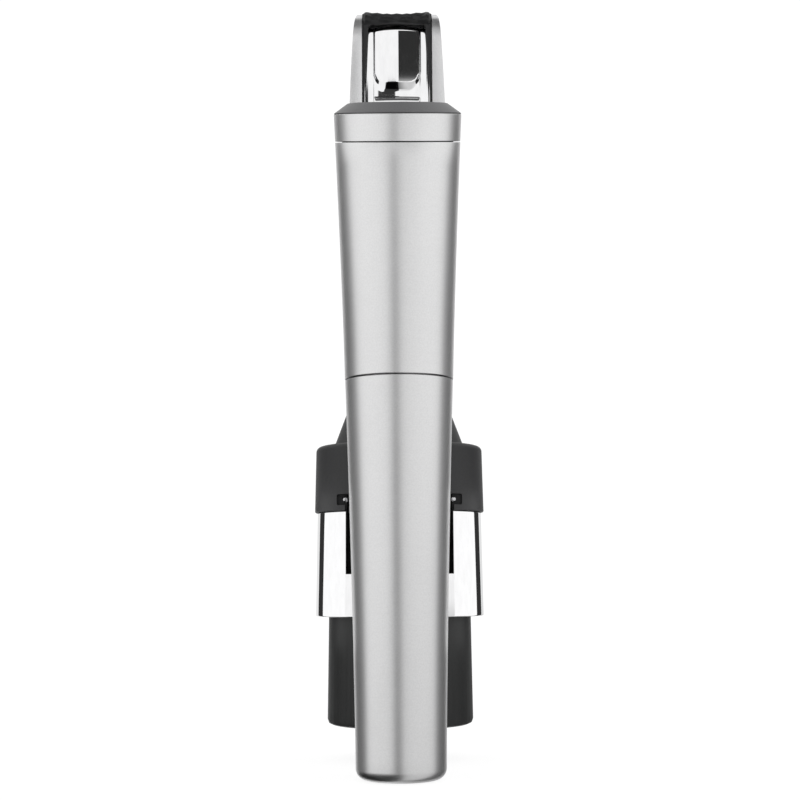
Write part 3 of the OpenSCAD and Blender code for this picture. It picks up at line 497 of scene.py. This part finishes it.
def eased(value, low, high):
    t = min(max((value - low) / (high - low), 0.0), 1.0)
    return t * t * (3.0 - 2.0 * t)


def bowed(x, radius):
    return radius - math.sqrt(radius * radius - x * x)


def coverBack(x, height):
    # how far the tongue stands proud of the back, less the fine line below it
    corner = cover["chinCorner"]
    outX, outH = abs(x) - (cover["tongueHalf"] - corner), cover["chin"] + corner - height
    if outX > 0.0 and outH > 0.0:
        reach, down = math.hypot(outX, outH) - corner, outH / math.hypot(outX, outH)
    else:
        reach, down = max(outX, outH) - corner, 1.0 if outH > outX else 0.0
    blend = cover["sideBlend"] + (cover["chinBlend"] - cover["sideBlend"]) * down ** 4
    t = min(max((reach + cover["crisp"]) / (blend + cover["crisp"]), 0.0), 1.0)
    fall = 1.0 - 1.3 * t if t < 0.6 else 1.375 * (1.0 - t) ** 2    # straight, then eased into the back
    tongue = (cover["tongueProud"] + bowed(min(abs(x), cover["bowHalf"]), cover["bow"])
              - bowed(x, cover["tongueBow"]))
    line = eased(abs(height - cover["lineHeight"]), cover["lineWide"], 0.0)
    line *= eased(abs(x), cover["lineHalf"], cover["lineHalf"] - cover["lineEnd"])
    return tongue * fall - cover["lineDeep"] * line


def coverPlan():
    # seen from above: bowed back, round corners, straight sides and a round front
    r, half, back = cover["corner"], cover["half"], cover["back"]
    flatY = back + bowed(cover["bowHalf"], cover["bow"])
    across = [0.2 * i for i in range(29)] + [5.9, 6.05, 6.12]
    across += [6.18 + 0.05 * i for i in range(12)]    # close at the tongue's side
    across += [6.8, 7.0, 7.4, 8.0, half - r]
    across = [-x for x in reversed(across[1:])] + across
    plan = [(x, back + bowed(min(abs(x), cover["bowHalf"]), cover["bow"]), True) for x in across]
    corner = [math.radians(90.0 * i / 8) for i in range(1, 9)]
    plan += [(half - r + r * math.sin(a), flatY + r - r * math.cos(a), False) for a in corner]
    plan += [(half, (flatY + r) * (1.0 - i / 7.0), False) for i in range(1, 7)]
    plan += [(half * math.cos(math.pi * i / 40), half * math.sin(math.pi * i / 40), False) for i in range(41)]
    plan += [(-half, (flatY + r) * i / 7.0, False) for i in range(1, 7)]
    plan += [(-half + r - r * math.sin(a), flatY + r - r * math.cos(a), False) for a in reversed(corner)]
    return plan


def makeCover():
    # a tube of corners on the plan, moved row by row to the cover's shape
    plan = coverPlan()
    wallTop = cover["top"] - cover["topRound"]
    heights = [cover["foot"] + 0.9 * i for i in range(13)]
    heights += [cover["lineHeight"] + 0.13 * (i - 2) for i in range(5)]    # close at the line and the chin
    heights += [182.0 + 0.13 * i for i in range(56)] + [189.4 + 0.6 * i for i in range(19)] + [wallTop]
    rows = [("wall", (h - cover["foot"]) / (wallTop - cover["foot"])) for h in heights]
    rows += [("round", math.radians(90.0 * i / 6)) for i in range(1, 7)]
    rows += [("top", i / 9.0) for i in range(1, 10)]
    nothingSelected()
    bpy.ops.mesh.primitive_grid_add(x_subdivisions=len(plan), y_subdivisions=len(rows) - 1, size=1.0)
    piece = bpy.context.object
    piece.name = "headShell"
    across = len(plan) + 1
    for index, vertex in enumerate(piece.data.vertices):
        column, row = index % across, index // across
        x, y, behind = plan[column % len(plan)]
        spineY = min(max(y, cover["back"] + cover["half"]), 0.0)
        toSpine = Vector((-x, spineY - y, 0.0))
        kind, share = rows[row]
        inset = {"wall": 0.0, "round": 1.0 - math.cos(share), "top": 1.0}[kind] * cover["topRound"]
        if kind == "top":
            inset += (toSpine.length - cover["topRound"]) * share
        inward = toSpine.normalized() * inset
        px, py = x + inward.x, y + inward.y
        if kind == "wall":
            height = cover["foot"] + (coverTop(y) - cover["topRound"] - cover["foot"]) * share
        elif kind == "round":
            height = coverTop(py) - cover["topRound"] * (1.0 - math.sin(share))
        else:
            height = coverTop(py)
        if behind:
            fade = cover["topFade"]
            py -= coverBack(x, height) * {"wall": 1.0, "round": 1.0 - fade * share / math.radians(90.0),
                                          "top": (1.0 - fade) * (1.0 - share)}[kind]
        vertex.co = at(px, py, height)
    cleanNormals(piece, weld["cover"])
    applyChange(piece, "SOLIDIFY", thickness=cover["wall"] * mm, offset=-1.0)
    for hole in coverHoles:
        cut(piece, rod(*hole))
    finishPiece(piece, "head_cover", smooth=40.0)


# ---- trigger: two satin arms, a black frame with a window between them, and a faceted pad
arms = {"inner": 9.65, "outer": 13.5, "edge": 0.5, "pinRadius": 1.56, "pinY": -2.0, "pinHeight": 180.0,
        "bridgeHalf": 10.2, "backmost": -40.0, "foremost": 12.0}
armSide = [(-30.4, 171.2), (-30.5, 176.0), (-30.75, 184.0), (-31.15, 191.5), (-31.35, 196.5), (-31.18, 199.0),
           (-30.82, 201.0), (-30.1, 203.0), (-28.9, 204.45), (-27.2, 204.9), (-24.0, 204.95), (-18.0, 204.9),
           (-12.5, 204.8), (-8.6, 203.9), (-4.4, 201.3), (-0.6, 197.3), (2.2, 192.6), (4.0, 187.6),
           (4.8, 183.0), (4.7, 178.6), (3.6, 175.6), (1.2, 173.7), (-2.0, 172.8), (-8.0, 172.9),
           (-16.0, 171.4), (-24.0, 171.2)]
armBack = [(13.3, 168.0), (13.15, 172.0), (12.95, 181.0), (12.6, 189.0), (12.3, 194.5), (12.05, 198.6),
           (11.75, 201.6), (11.35, 203.5), (10.9, 204.5), (10.2, 205.1)]
bridgeSide = [(-10.9, 205.3), (-8.2, 204.3), (-4.9, 202.0), (-1.0, 197.8), (-2.2, 196.8), (-6.0, 200.8),
              (-8.6, 202.7), (-10.9, 203.9)]


def smoothed(points, steps=6, closed=True):
    # a round curve through every point
    made = []
    count = len(points)
    for i in range(count if closed else count - 1):
        near = [(i + k) % count if closed else min(max(i + k, 0), count - 1) for k in (-1, 0, 1, 2)]
        a, b, c, d = (points[k] for k in near)
        for j in range(steps):
            t = j / steps
            made.append(tuple(0.5 * (2 * b[n] + (c[n] - a[n]) * t
                                     + (2 * a[n] - 5 * b[n] + 4 * c[n] - d[n]) * t * t
                                     + (3 * b[n] - a[n] - 3 * c[n] + d[n]) * t ** 3) for n in (0, 1)))
    return made if closed else made + [points[-1]]


def slab(name, corners, along, low, high):
    # an outline in the upright plane square to x or y, drawn out between two depths
    flat = [(low, a, b) if along == "x" else (a, low, b) for a, b in corners]
    piece = outline(name, flat)
    editAll(piece, "FACE")
    step = (high - low) * mm
    move = (step, 0, 0) if along == "x" else (0, step, 0)
    bpy.ops.mesh.extrude_region_move(TRANSFORM_OT_translate={"value": move})
    cleanNormals(piece)
    return piece


def makeArms():
    # two slabs with the arms' side view and a bridge, kept inside the outline seen from behind
    seen = smoothed(armBack, 5, closed=False)
    silhouette = slab("armsFront", [(-x, h) for x, h in seen] + [(x, h) for x, h in reversed(seen)], "y",
                      arms["backmost"], arms["foremost"])
    piece = slab("triggerArms", smoothed(armSide, 4), "x", arms["inner"], arms["outer"])
    other = slab("otherArm", smoothed(armSide, 4), "x", -arms["outer"], -arms["inner"])
    bridge = slab("frontBridge", bridgeSide, "x", -arms["bridgeHalf"], arms["bridgeHalf"])
    cut(piece, other, "UNION")
    cut(piece, bridge, "UNION")
    cut(piece, silhouette, "INTERSECT")
    cut(piece, rod("pinBore", arms["pinRadius"], 40.0, (0.0, arms["pinY"], arms["pinHeight"]),
                   (0.0, 90.0, 0.0)))
    cleanNormals(piece, weld["afterCuts"])
    soften(piece, arms["edge"], 4, 34.0)
    finishPiece(piece, "trigger_arms", smooth=30.0)


window = {"half": 9.55, "back": -30.0, "front": -28.3, "foot": 172.5, "top": 204.3, "edge": 0.2,
          "footHalf": 9.15, "midHalf": 8.95, "mid": 183.0, "topHalf": 7.9, "sill": 201.4, "arch": 0.2,
          "corner": 0.9, "shelf": 203.75, "shelfIn": 1.5, "shelfFront": -10.7, "reliefIn": 0.8,
          "reliefFoot": 199.9}


def makeFrame():
    w = window
    right = [(w["footHalf"], w["foot"] - 1.0), (w["midHalf"], w["mid"])]
    right += arc(w["topHalf"] - w["corner"], w["sill"] - w["corner"], w["corner"], 4.0, 84.0, 8)
    arch = [(w["topHalf"] * 0.5, w["sill"] + w["arch"] * 0.75), (0.0, w["sill"] + w["arch"])]
    opening = right + arch + [(-x, h) for x, h in reversed(right + arch[:1])]
    piece = block("windowFrame", (-w["half"], w["back"], w["foot"]), (w["half"], w["front"], w["top"]))
    cut(piece, slab("opening", opening, "y", w["back"] - 5.0, w["front"] + 5.0))
    cut(piece, block("relief", (-20.0, w["back"] + w["reliefIn"], w["reliefFoot"]), (20.0, 0.0, w["shelf"])))
    cut(piece, block("shelf", (-w["half"], w["back"] + w["shelfIn"], w["shelf"]),
                     (w["half"], w["shelfFront"], w["top"])), "UNION")
    cleanNormals(piece)
    soften(piece, w["edge"], 3, 40.0)
    finishPiece(piece, "trigger_frame")


pad = {"half": 9.55, "thick": 0.85, "facet": 5.35, "cells": 12, "relief": 0.40, "plainRim": 1.2, "dish": 0.62,
       "sunk": 0.22, "rimRound": 0.8, "rimDrop": 0.6, "lowerEnd": 1.2, "frontEnd": 0.6}
padPath = [(-30.6, 201.3), (-30.85, 202.0), (-30.95, 203.0), (-30.6, 204.3), (-29.5, 205.3), (-27.8, 205.7),
           (-24.0, 205.7), (-18.0, 205.7), (-13.2, 205.7), (-11.6, 205.5), (-10.8, 204.9)]


def makePad():
    # a sheet of raised diamonds, wrapped over the back edge and given its thickness
    path = smoothed(padPath, 8, closed=False)
    lengths = [0.0]
    for a, b in zip(path, path[1:]):
        lengths.append(lengths[-1] + math.hypot(b[0] - a[0], b[1] - a[1]))
    whole = lengths[-1]
    nothingSelected()
    bpy.ops.mesh.primitive_grid_add(x_subdivisions=pad["cells"], y_subdivisions=pad["cells"],
                                    size=pad["cells"] * pad["facet"] / math.sqrt(2.0) * mm,
                                    location=(0.0, 0.5 * whole * mm, 0.0), rotation=(0.0, 0.0, math.radians(45.0)))
    piece = bpy.context.object
    piece.name = "thumbPad"
    bpy.ops.object.transform_apply(location=True, rotation=True, scale=True)
    editAll(piece, "FACE")
    bpy.ops.mesh.poke(offset=pad["relief"] * mm)
    for place, normal in (((pad["half"], 0, 0), (1, 0, 0)), ((-pad["half"], 0, 0), (-1, 0, 0)),
                          ((0, 0, 0), (0, -1, 0)), ((0, whole, 0), (0, 1, 0))):
        bpy.ops.mesh.select_all(action="SELECT")
        bpy.ops.mesh.bisect(plane_co=Vector(place) * mm, plane_no=normal, clear_outer=True)
    bpy.ops.mesh.select_all(action="SELECT")
    bpy.ops.mesh.subdivide(number_cuts=3)
    bpy.ops.object.mode_set(mode="OBJECT")
    for vertex in piece.data.vertices:
        x, s, lift = vertex.co.x / mm, vertex.co.y / mm, vertex.co.z / mm
        k = max(next((i for i, l in enumerate(lengths) if l > s), len(path) - 1), 1)
        a, b = path[k - 1], path[k]
        t = (s - lengths[k - 1]) / (lengths[k] - lengths[k - 1])
        along = Vector((b[0] - a[0], b[1] - a[1])).normalized()
        outward = Vector((-along[1], along[0]))
        lift *= eased(min(s, pad["half"] - abs(x)), 0.0, pad["plainRim"])    # plain at the sides and lower end
        edge = min(pad["half"] - abs(x), s + pad["lowerEnd"], whole - s + pad["frontEnd"])
        depth = lift - pad["dish"] * (1.0 - (x / pad["half"]) ** 2) - pad["sunk"]
        depth -= pad["rimDrop"] * (1.0 - eased(edge, 0.0, pad["rimRound"]))
        vertex.co = at(x, a[0] + (b[0] - a[0]) * t + outward[0] * depth,
                       a[1] + (b[1] - a[1]) * t + outward[1] * depth)
    cleanNormals(piece)
    applyChange(piece, "SOLIDIFY", thickness=pad["thick"] * mm, offset=-1.0, use_even_offset=True)
    finishPiece(piece, "thumb_pad", smooth=11.0)


# ---- clamp: black housing with its tower, plated band, pins, jaws
housing = {"foot": 68.3, "top": 87.0, "footRadius": 23.98, "topRadius": 23.62, "footEdge": 0.25, "shoulder": 1.5,
           "neckOut": 1.4, "neckRound": 1.2, "tower": 112.0, "towerFoot": 17.95, "towerTop": 10.5,
           "lipFrom": 107.3, "lipTo": 108.2, "lipOut": 0.35, "lipRound": 0.8, "edge": 0.18,
           "bore": 7.2, "boreEdge": 0.4, "boreFoot": 84.0, "guide": 5.5, "guideFoot": 69.5, "needleWay": 2.5,
           "stopRadius": 9.6, "roof": 84.8, "inner": 21.25, "skirt": 61.0, "skirtRadius": 22.4,
           "blockHalf": 9.5, "blockBack": -26.6, "blockFront": -6.0, "blockEdge": 0.8}
housingRooms = (("railChannel", (-7.4, -24.3, 50.0), (7.4, -19.7, 140.0)),
                ("stopRoom", (-8.3, -24.3, 50.0), (8.3, -19.2, 70.9)))
pinRoom = {"half": 17.2, "foot": 69.8, "top": 72.8, "back": -40.0, "front": -15.6, "edge": 0.45,
           "stemHalf": 14.9, "stemFoot": 45.0, "stemTop": 71.5}
pins = {"x": 14.7, "height": 71.3, "radius": 0.85, "length": 32.6, "y": -0.9, "dome": 0.55,
        "bore": 0.87, "boreLength": 36.0, "boreY": -2.0}


def makeHousing():
    h = housing
    shoulder = arc(h["topRadius"] - h["shoulder"], h["top"] - h["shoulder"], h["shoulder"], 0.0, 90.0, 8)
    neckRadius, lipRound = h["towerFoot"] + h["neckOut"], h["lipRound"]
    neck = [(neckRadius, h["top"])]
    neck += arc(neckRadius, h["top"] + h["neckRound"], h["neckRound"], -90.0, -158.0, 5)
    lip = [(h["towerTop"] + h["lipOut"], h["lipFrom"]), (h["towerTop"], h["lipTo"])]
    lip += arc(h["towerTop"] - lipRound, h["tower"] - lipRound, lipRound, 0.0, 90.0, 6)
    inside = [(h["bore"] + h["boreEdge"], h["tower"]), (h["bore"], h["tower"] - h["boreEdge"]),
              (h["bore"], h["boreFoot"]), (h["guide"], h["boreFoot"]), (h["guide"], h["guideFoot"]),
              (h["needleWay"], h["guideFoot"]), (h["needleWay"], h["foot"]), (h["stopRadius"], h["foot"]),
              (h["stopRadius"], h["roof"]), (h["inner"], h["roof"]), (h["inner"], h["skirt"])]
    outside = [(h["skirtRadius"], h["skirt"]), (h["skirtRadius"], h["foot"]),
               (h["footRadius"] - h["footEdge"], h["foot"]), (h["footRadius"], h["foot"] + h["footEdge"])]
    piece = turned("clampHousing", outside + shoulder + neck + lip + inside, steps=128)
    rail = block("railBlock", (-h["blockHalf"], h["blockBack"], h["foot"]),
                 (h["blockHalf"], h["blockFront"], h["tower"]))
    pickEdges(rail, lambda a, b: max(a[1], b[1]) < h["blockBack"] + 0.1)
    bevelPicked(h["blockEdge"], 5)
    cut(rail, rod("towerRoom", h["bore"] + 0.01, 60.0, (0.0, 0.0, 100.0), sides=128))
    cut(piece, rail, "UNION")
    for room in housingRooms:
        cut(piece, block(*room))
    for side in (-1, 1):
        low, high = sorted((side * h["blockHalf"], side * pinRoom["half"]))
        wide = block("pinRoom", (low, pinRoom["back"], pinRoom["foot"]),
                     (high, pinRoom["front"], pinRoom["top"]))
        pickEdges(wide, lambda a, b: abs(a[0] - b[0]) < 0.01 and abs(a[2] - b[2]) < 0.01 and abs(a[0]) > 12.0)
        bevelPicked(pinRoom["edge"], 5)
        cut(piece, wide)
        low, high = sorted((side * h["blockHalf"], side * pinRoom["stemHalf"]))
        cut(piece, block("stemRoom", (low, pinRoom["back"], pinRoom["stemFoot"]),
                         (high, pinRoom["front"], pinRoom["stemTop"])))
        cut(piece, rod("pinBore", pins["bore"], pins["boreLength"],
                       (side * pins["x"], pins["boreY"], pins["height"]), (90.0, 0.0, 0.0), 32))
    cleanNormals(piece, weld["afterCuts"])
    soften(piece, h["edge"], 2, 38.0)
    finishPiece(piece, "clamp_housing")


band = {"foot": 39.3, "top": 68.2, "inner": 22.5, "topRadius": 23.22, "footRadius": 23.68,
        "lip": 0.32, "edge": 0.1}
bandSlots = (("stemSlot", (-14.7, -45.0, 51.0), (14.7, -10.0, 90.0)),
             ("railSlot", (-9.8, -45.0, 30.0), (9.8, -10.0, 90.0)))


def makeBand():
    b = band
    upper = arc(b["topRadius"] - b["lip"], b["top"] - b["lip"], b["lip"], 90.0, 0.0, 5)
    lower = arc(b["footRadius"] - b["lip"], b["foot"] + b["lip"], b["lip"], 0.0, -90.0, 5)
    flare, fall = b["footRadius"] - b["topRadius"], b["top"] - b["foot"] - 2 * b["lip"]
    side = [(b["topRadius"] + flare * i / 6, b["top"] - b["lip"] - fall * i / 6) for i in range(1, 6)]
    ring = [(b["inner"], b["top"])] + upper + side + lower + [(b["inner"], b["foot"])]
    piece = turned("platedBand", ring, steps=200)
    for slot in bandSlots:
        cut(piece, block(*slot))
    soften(piece, b["edge"], 2, 50.0)
    finishPiece(piece, "clamp_band", smooth=40.0)


def makePins():
    # domed rivets through the jaws
    made = []
    for side in (-1, 1):
        pin = rod("jawRivets", pins["radius"], pins["length"], (side * pins["x"], pins["y"], pins["height"]),
                  (90.0, 0.0, 0.0), 40)
        pickEdges(pin, lambda a, b: abs(abs(a[1] - pins["y"]) - 0.5 * pins["length"]) < 0.05
                  and abs(a[1] - b[1]) < 0.01)
        bevelPicked(pins["dome"], 6)
        made.append(pin)
    onlySelected(made[0])
    made[1].select_set(True)
    bpy.ops.object.join()
    finishPiece(made[0], "jaw_pins")


def softenedCopies(widths):
    # pieces whose solid already has the shape: their edges are broken as on the real ones
    for nodeName, (name, width, segments) in widths.items():
        piece = copyOfNode(name, nodeName)
        soften(piece, width, segments, 35.0)
        finishPiece(piece, nodeName)


for make in (makeHandle, makeCollar, makeCap, makeCup):
    make()
print("handle and cup made")
for make in (makeCover, makeArms, makeFrame, makePad):
    make()
print("head made")
for make in (makeHousing, makeBand, makePins):
    make()
print("clamp made")
softenedCopies({"left_jaw": ("leftJaw", 0.3, 3), "right_jaw": ("rightJaw", 0.3, 3),
                "left_jaw_pad": ("leftGrip", 0.15, 2), "right_jaw_pad": ("rightGrip", 0.15, 2),
                "bottle_stop": ("bottleStop", 0.25, 2), "spout": ("pourSpout", 0.12, 2),
                "spout_nut": ("spoutNut", 0.2, 3), "needle_hub": ("needleHub", 0.15, 2),
                "head_frame": ("headFrame", 0.25, 2), "rail": ("slideRail", 0.2, 2),
                "rail_stop": ("railStop", 0.15, 2)})
for nodeName, name, joint, ends, fixed in (("valve_spring", "valveCoil", "plunger_press", (0.0, -18.0), "low"),
                                           ("regulator_spring", "regulatorCoil", "piston_slide", (0.0, -45.0), "high")):
    # each coil is copied from its node as it is and given a mesh of its own
    coil = copyOfNode(name, nodeName)
    finishPiece(coil, nodeName)
    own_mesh(coil)
print("softened copies made")


# ---- camera, fitted to the photograph
shot = {"eye": (-1.2, -431.0, 50.8), "pitch": 6.6, "yaw": -0.21, "roll": -0.33,
        "focalPixels": 1509.0, "photoWidth": 800.0, "sensor": 36.0}
camData = bpy.data.cameras.new("photoCamera")
camData.sensor_width = shot["sensor"]
camData.lens = shot["sensor"] * shot["focalPixels"] / shot["photoWidth"]
camera = bpy.data.objects.new("photoCamera", camData)
turn = (Matrix.Rotation(math.radians(shot["yaw"]), 4, "Z")
        @ Matrix.Rotation(math.radians(90.0 + shot["pitch"]), 4, "X")
        @ Matrix.Rotation(math.radians(shot["roll"]), 4, "Z"))
camera.matrix_world = Matrix.Translation(Vector(shot["eye"]) * mm + Vector((0, 0, baseZ))) @ turn
bpy.context.scene.collection.objects.link(camera)
bpy.context.scene.camera = camera


# ---- studio: white surround with black flags, as angles round the object; 0 looks at the camera
studio = {"white": 1.06, "lowWhite": 0.68, "lowWhiteLeft": 1.04, "farWhite": 0.80, "farFrom": 151.75,
          "slitAzimuth": -7.5, "slitHalf": 6.2, "slitTop": 18.4, "slitWider": 3.0, "slitLevel": 0.04,
          "flagFrom": -154.0, "flagTo": 5.0, "flagTop": -17.0, "flagLevel": 0.05,
          "cardFrom": 2.2, "cardTo": 38.0, "cardLow": 18.5, "cardHigh": 22.0, "cardLevel": 0.03,
          "sideFromLow": 95.0, "sideFromHigh": 115.0, "sideTo": 149.0, "sideLevel": 0.14,
          "riseFrom": -10.0, "riseOver": 27.0, "risePower": 2.4,
          "hoodHalf": 60.0, "hoodLow": 34.0, "hoodHigh": 78.0, "hoodLevel": 0.10}
world = bpy.data.worlds.new("softStudio")
bpy.context.scene.world = world
world.use_nodes = True
sky = world.node_tree
background = sky.nodes["Background"]
look = Wire(sky, sky.nodes.new("ShaderNodeTexCoord").outputs["Generated"])
split = sky.nodes.new("ShaderNodeSeparateXYZ")
sky.links.new(look.socket, split.inputs[0])
lookX, lookY, lookZ = (Wire(sky, split.outputs[i]) for i in range(3))
azimuth = lookX.maths("ARCTAN2", lookX, lookY * -1.0) * (180.0 / math.pi)
elevation = lookX.maths("ARCSINE", lookZ) * (180.0 / math.pi)
aside = lookX.maths("ABSOLUTE", azimuth)


def above(value, edge, soft):
    return smoothStep(value, edge - soft, edge + soft)


def below(value, edge, soft):
    return 1.0 - above(value, edge, soft)


def between(value, low, high, soft):
    return above(value, low, soft) * below(value, high, soft)


slitLow, slitHigh = (studio["slitAzimuth"] + side * studio["slitHalf"] for side in (-1, 1))
wider = below(elevation, -1.0, 7.0) * studio["slitWider"]    # the slit opens out lower down
slit = above(azimuth + wider, slitLow, 0.5) * below(azimuth - wider, slitHigh, 0.5)
slit = slit * below(elevation, studio["slitTop"], 0.3)
card = between(azimuth, studio["cardFrom"], studio["cardTo"], 0.3)
card = card * between(elevation, studio["cardLow"], studio["cardHigh"], 0.2)
rise = lookX.maths("MAXIMUM", (elevation - studio["riseFrom"]) / studio["riseOver"], 0.0) ** studio["risePower"]
sideFrom = studio["sideFromLow"] + (studio["sideFromHigh"] - studio["sideFromLow"]) * rise
sides = above(aside - sideFrom, 0.0, 6.0) * below(aside, studio["sideTo"], 1.5)
far = above(aside, studio["farFrom"], 1.25)
flag = above(azimuth, studio["flagFrom"], 4.0) * below(azimuth, studio["flagTo"], 8.0)
flag = flag * below(elevation, studio["flagTop"], 1.5)
hood = between(azimuth, -studio["hoodHalf"], studio["hoodHalf"], 6.0)
hood = hood * between(elevation, studio["hoodLow"], studio["hoodHigh"], 4.0)
lowWhite = studio["lowWhite"] + above(azimuth * -1.0, 0.0, 15.0) * (studio["lowWhiteLeft"] - studio["lowWhite"])
level = lowWhite + above(elevation, -5.0, 9.0) * (studio["white"] - lowWhite)
level = level * (1.0 - far * (1.0 - studio["farWhite"]))
for mask, dark in ((flag, "flagLevel"), (slit, "slitLevel"), (card, "cardLevel"), (sides, "sideLevel"),
                   (hood, "hoodLevel")):
    level = level * (1.0 - mask * (1.0 - studio[dark]))
onCamera = Wire(sky, sky.nodes.new("ShaderNodeLightPath").outputs["Is Camera Ray"])
level = level * (1.0 - onCamera) + onCamera * studio["white"]    # the backdrop itself stays white
sky.links.new(level.socket, background.inputs["Strength"])
background.inputs["Color"].default_value = (1, 1, 1, 1)
bpy.context.scene.view_settings.view_transform = "Standard"

paleFloor = {"size": 6.0, "below": 0.02, "glow": 0.86}    # metres across, mm under the base
bpy.ops.object.select_all(action="DESELECT")
bpy.ops.mesh.primitive_plane_add(size=paleFloor["size"], location=(0, 0, baseZ - paleFloor["below"] * mm))
floor = bpy.context.object
floor.name = "paleFloor"
floor.visible_glossy = False    # the flags run on below, as in a light tent
floor.data.materials.append(newMaterial(
    "paleFloor", {"Roughness": 0.9, "Specular IOR Level": 0.0, "Emission Color": (1, 1, 1, 1),
                  "Emission Strength": paleFloor["glow"]},
    lambda place: {"Base Color": mixColours(noise(place, evenly, 6.0),
                                            (0.24, 0.24, 0.24, 1), (0.26, 0.26, 0.26, 1))}))

# beside the band a white card and a black one each side, seen only in reflections
bandCards = {"out": 32.0, "low": 30.0, "high": 74.0,
             "tones": (("White", -21.5, -1.0, 1.15), ("Black", -1.0, 9.5, 0.035))}    # from y, to y, glow
for side, edge in ((-1, "Left"), (1, "Right")):
    for tone, first, last, glow in bandCards["tones"]:
        bpy.ops.mesh.primitive_plane_add(size=1.0, rotation=(0, math.radians(90.0), 0))
        cardPiece = bpy.context.object
        cardPiece.name = "bandCard" + tone + edge
        cardPiece.scale = ((bandCards["high"] - bandCards["low"]) * mm, (last - first) * mm, 1.0)
        cardPiece.location = (side * bandCards["out"] * mm, 0.5 * (first + last) * mm,
                              0.5 * (bandCards["low"] + bandCards["high"]) * mm + baseZ)
        cardPiece.visible_camera = cardPiece.visible_diffuse = cardPiece.visible_shadow = False
        cardPiece.visible_transmission = False
        cardPiece.data.materials.append(newMaterial(
            "bandCard" + tone, {"Base Color": (0, 0, 0, 1), "Specular IOR Level": 0.0, "Emission Color": (1, 1, 1, 1),
                                "Emission Strength": glow}, lambda place: {}))
print("studio ready")
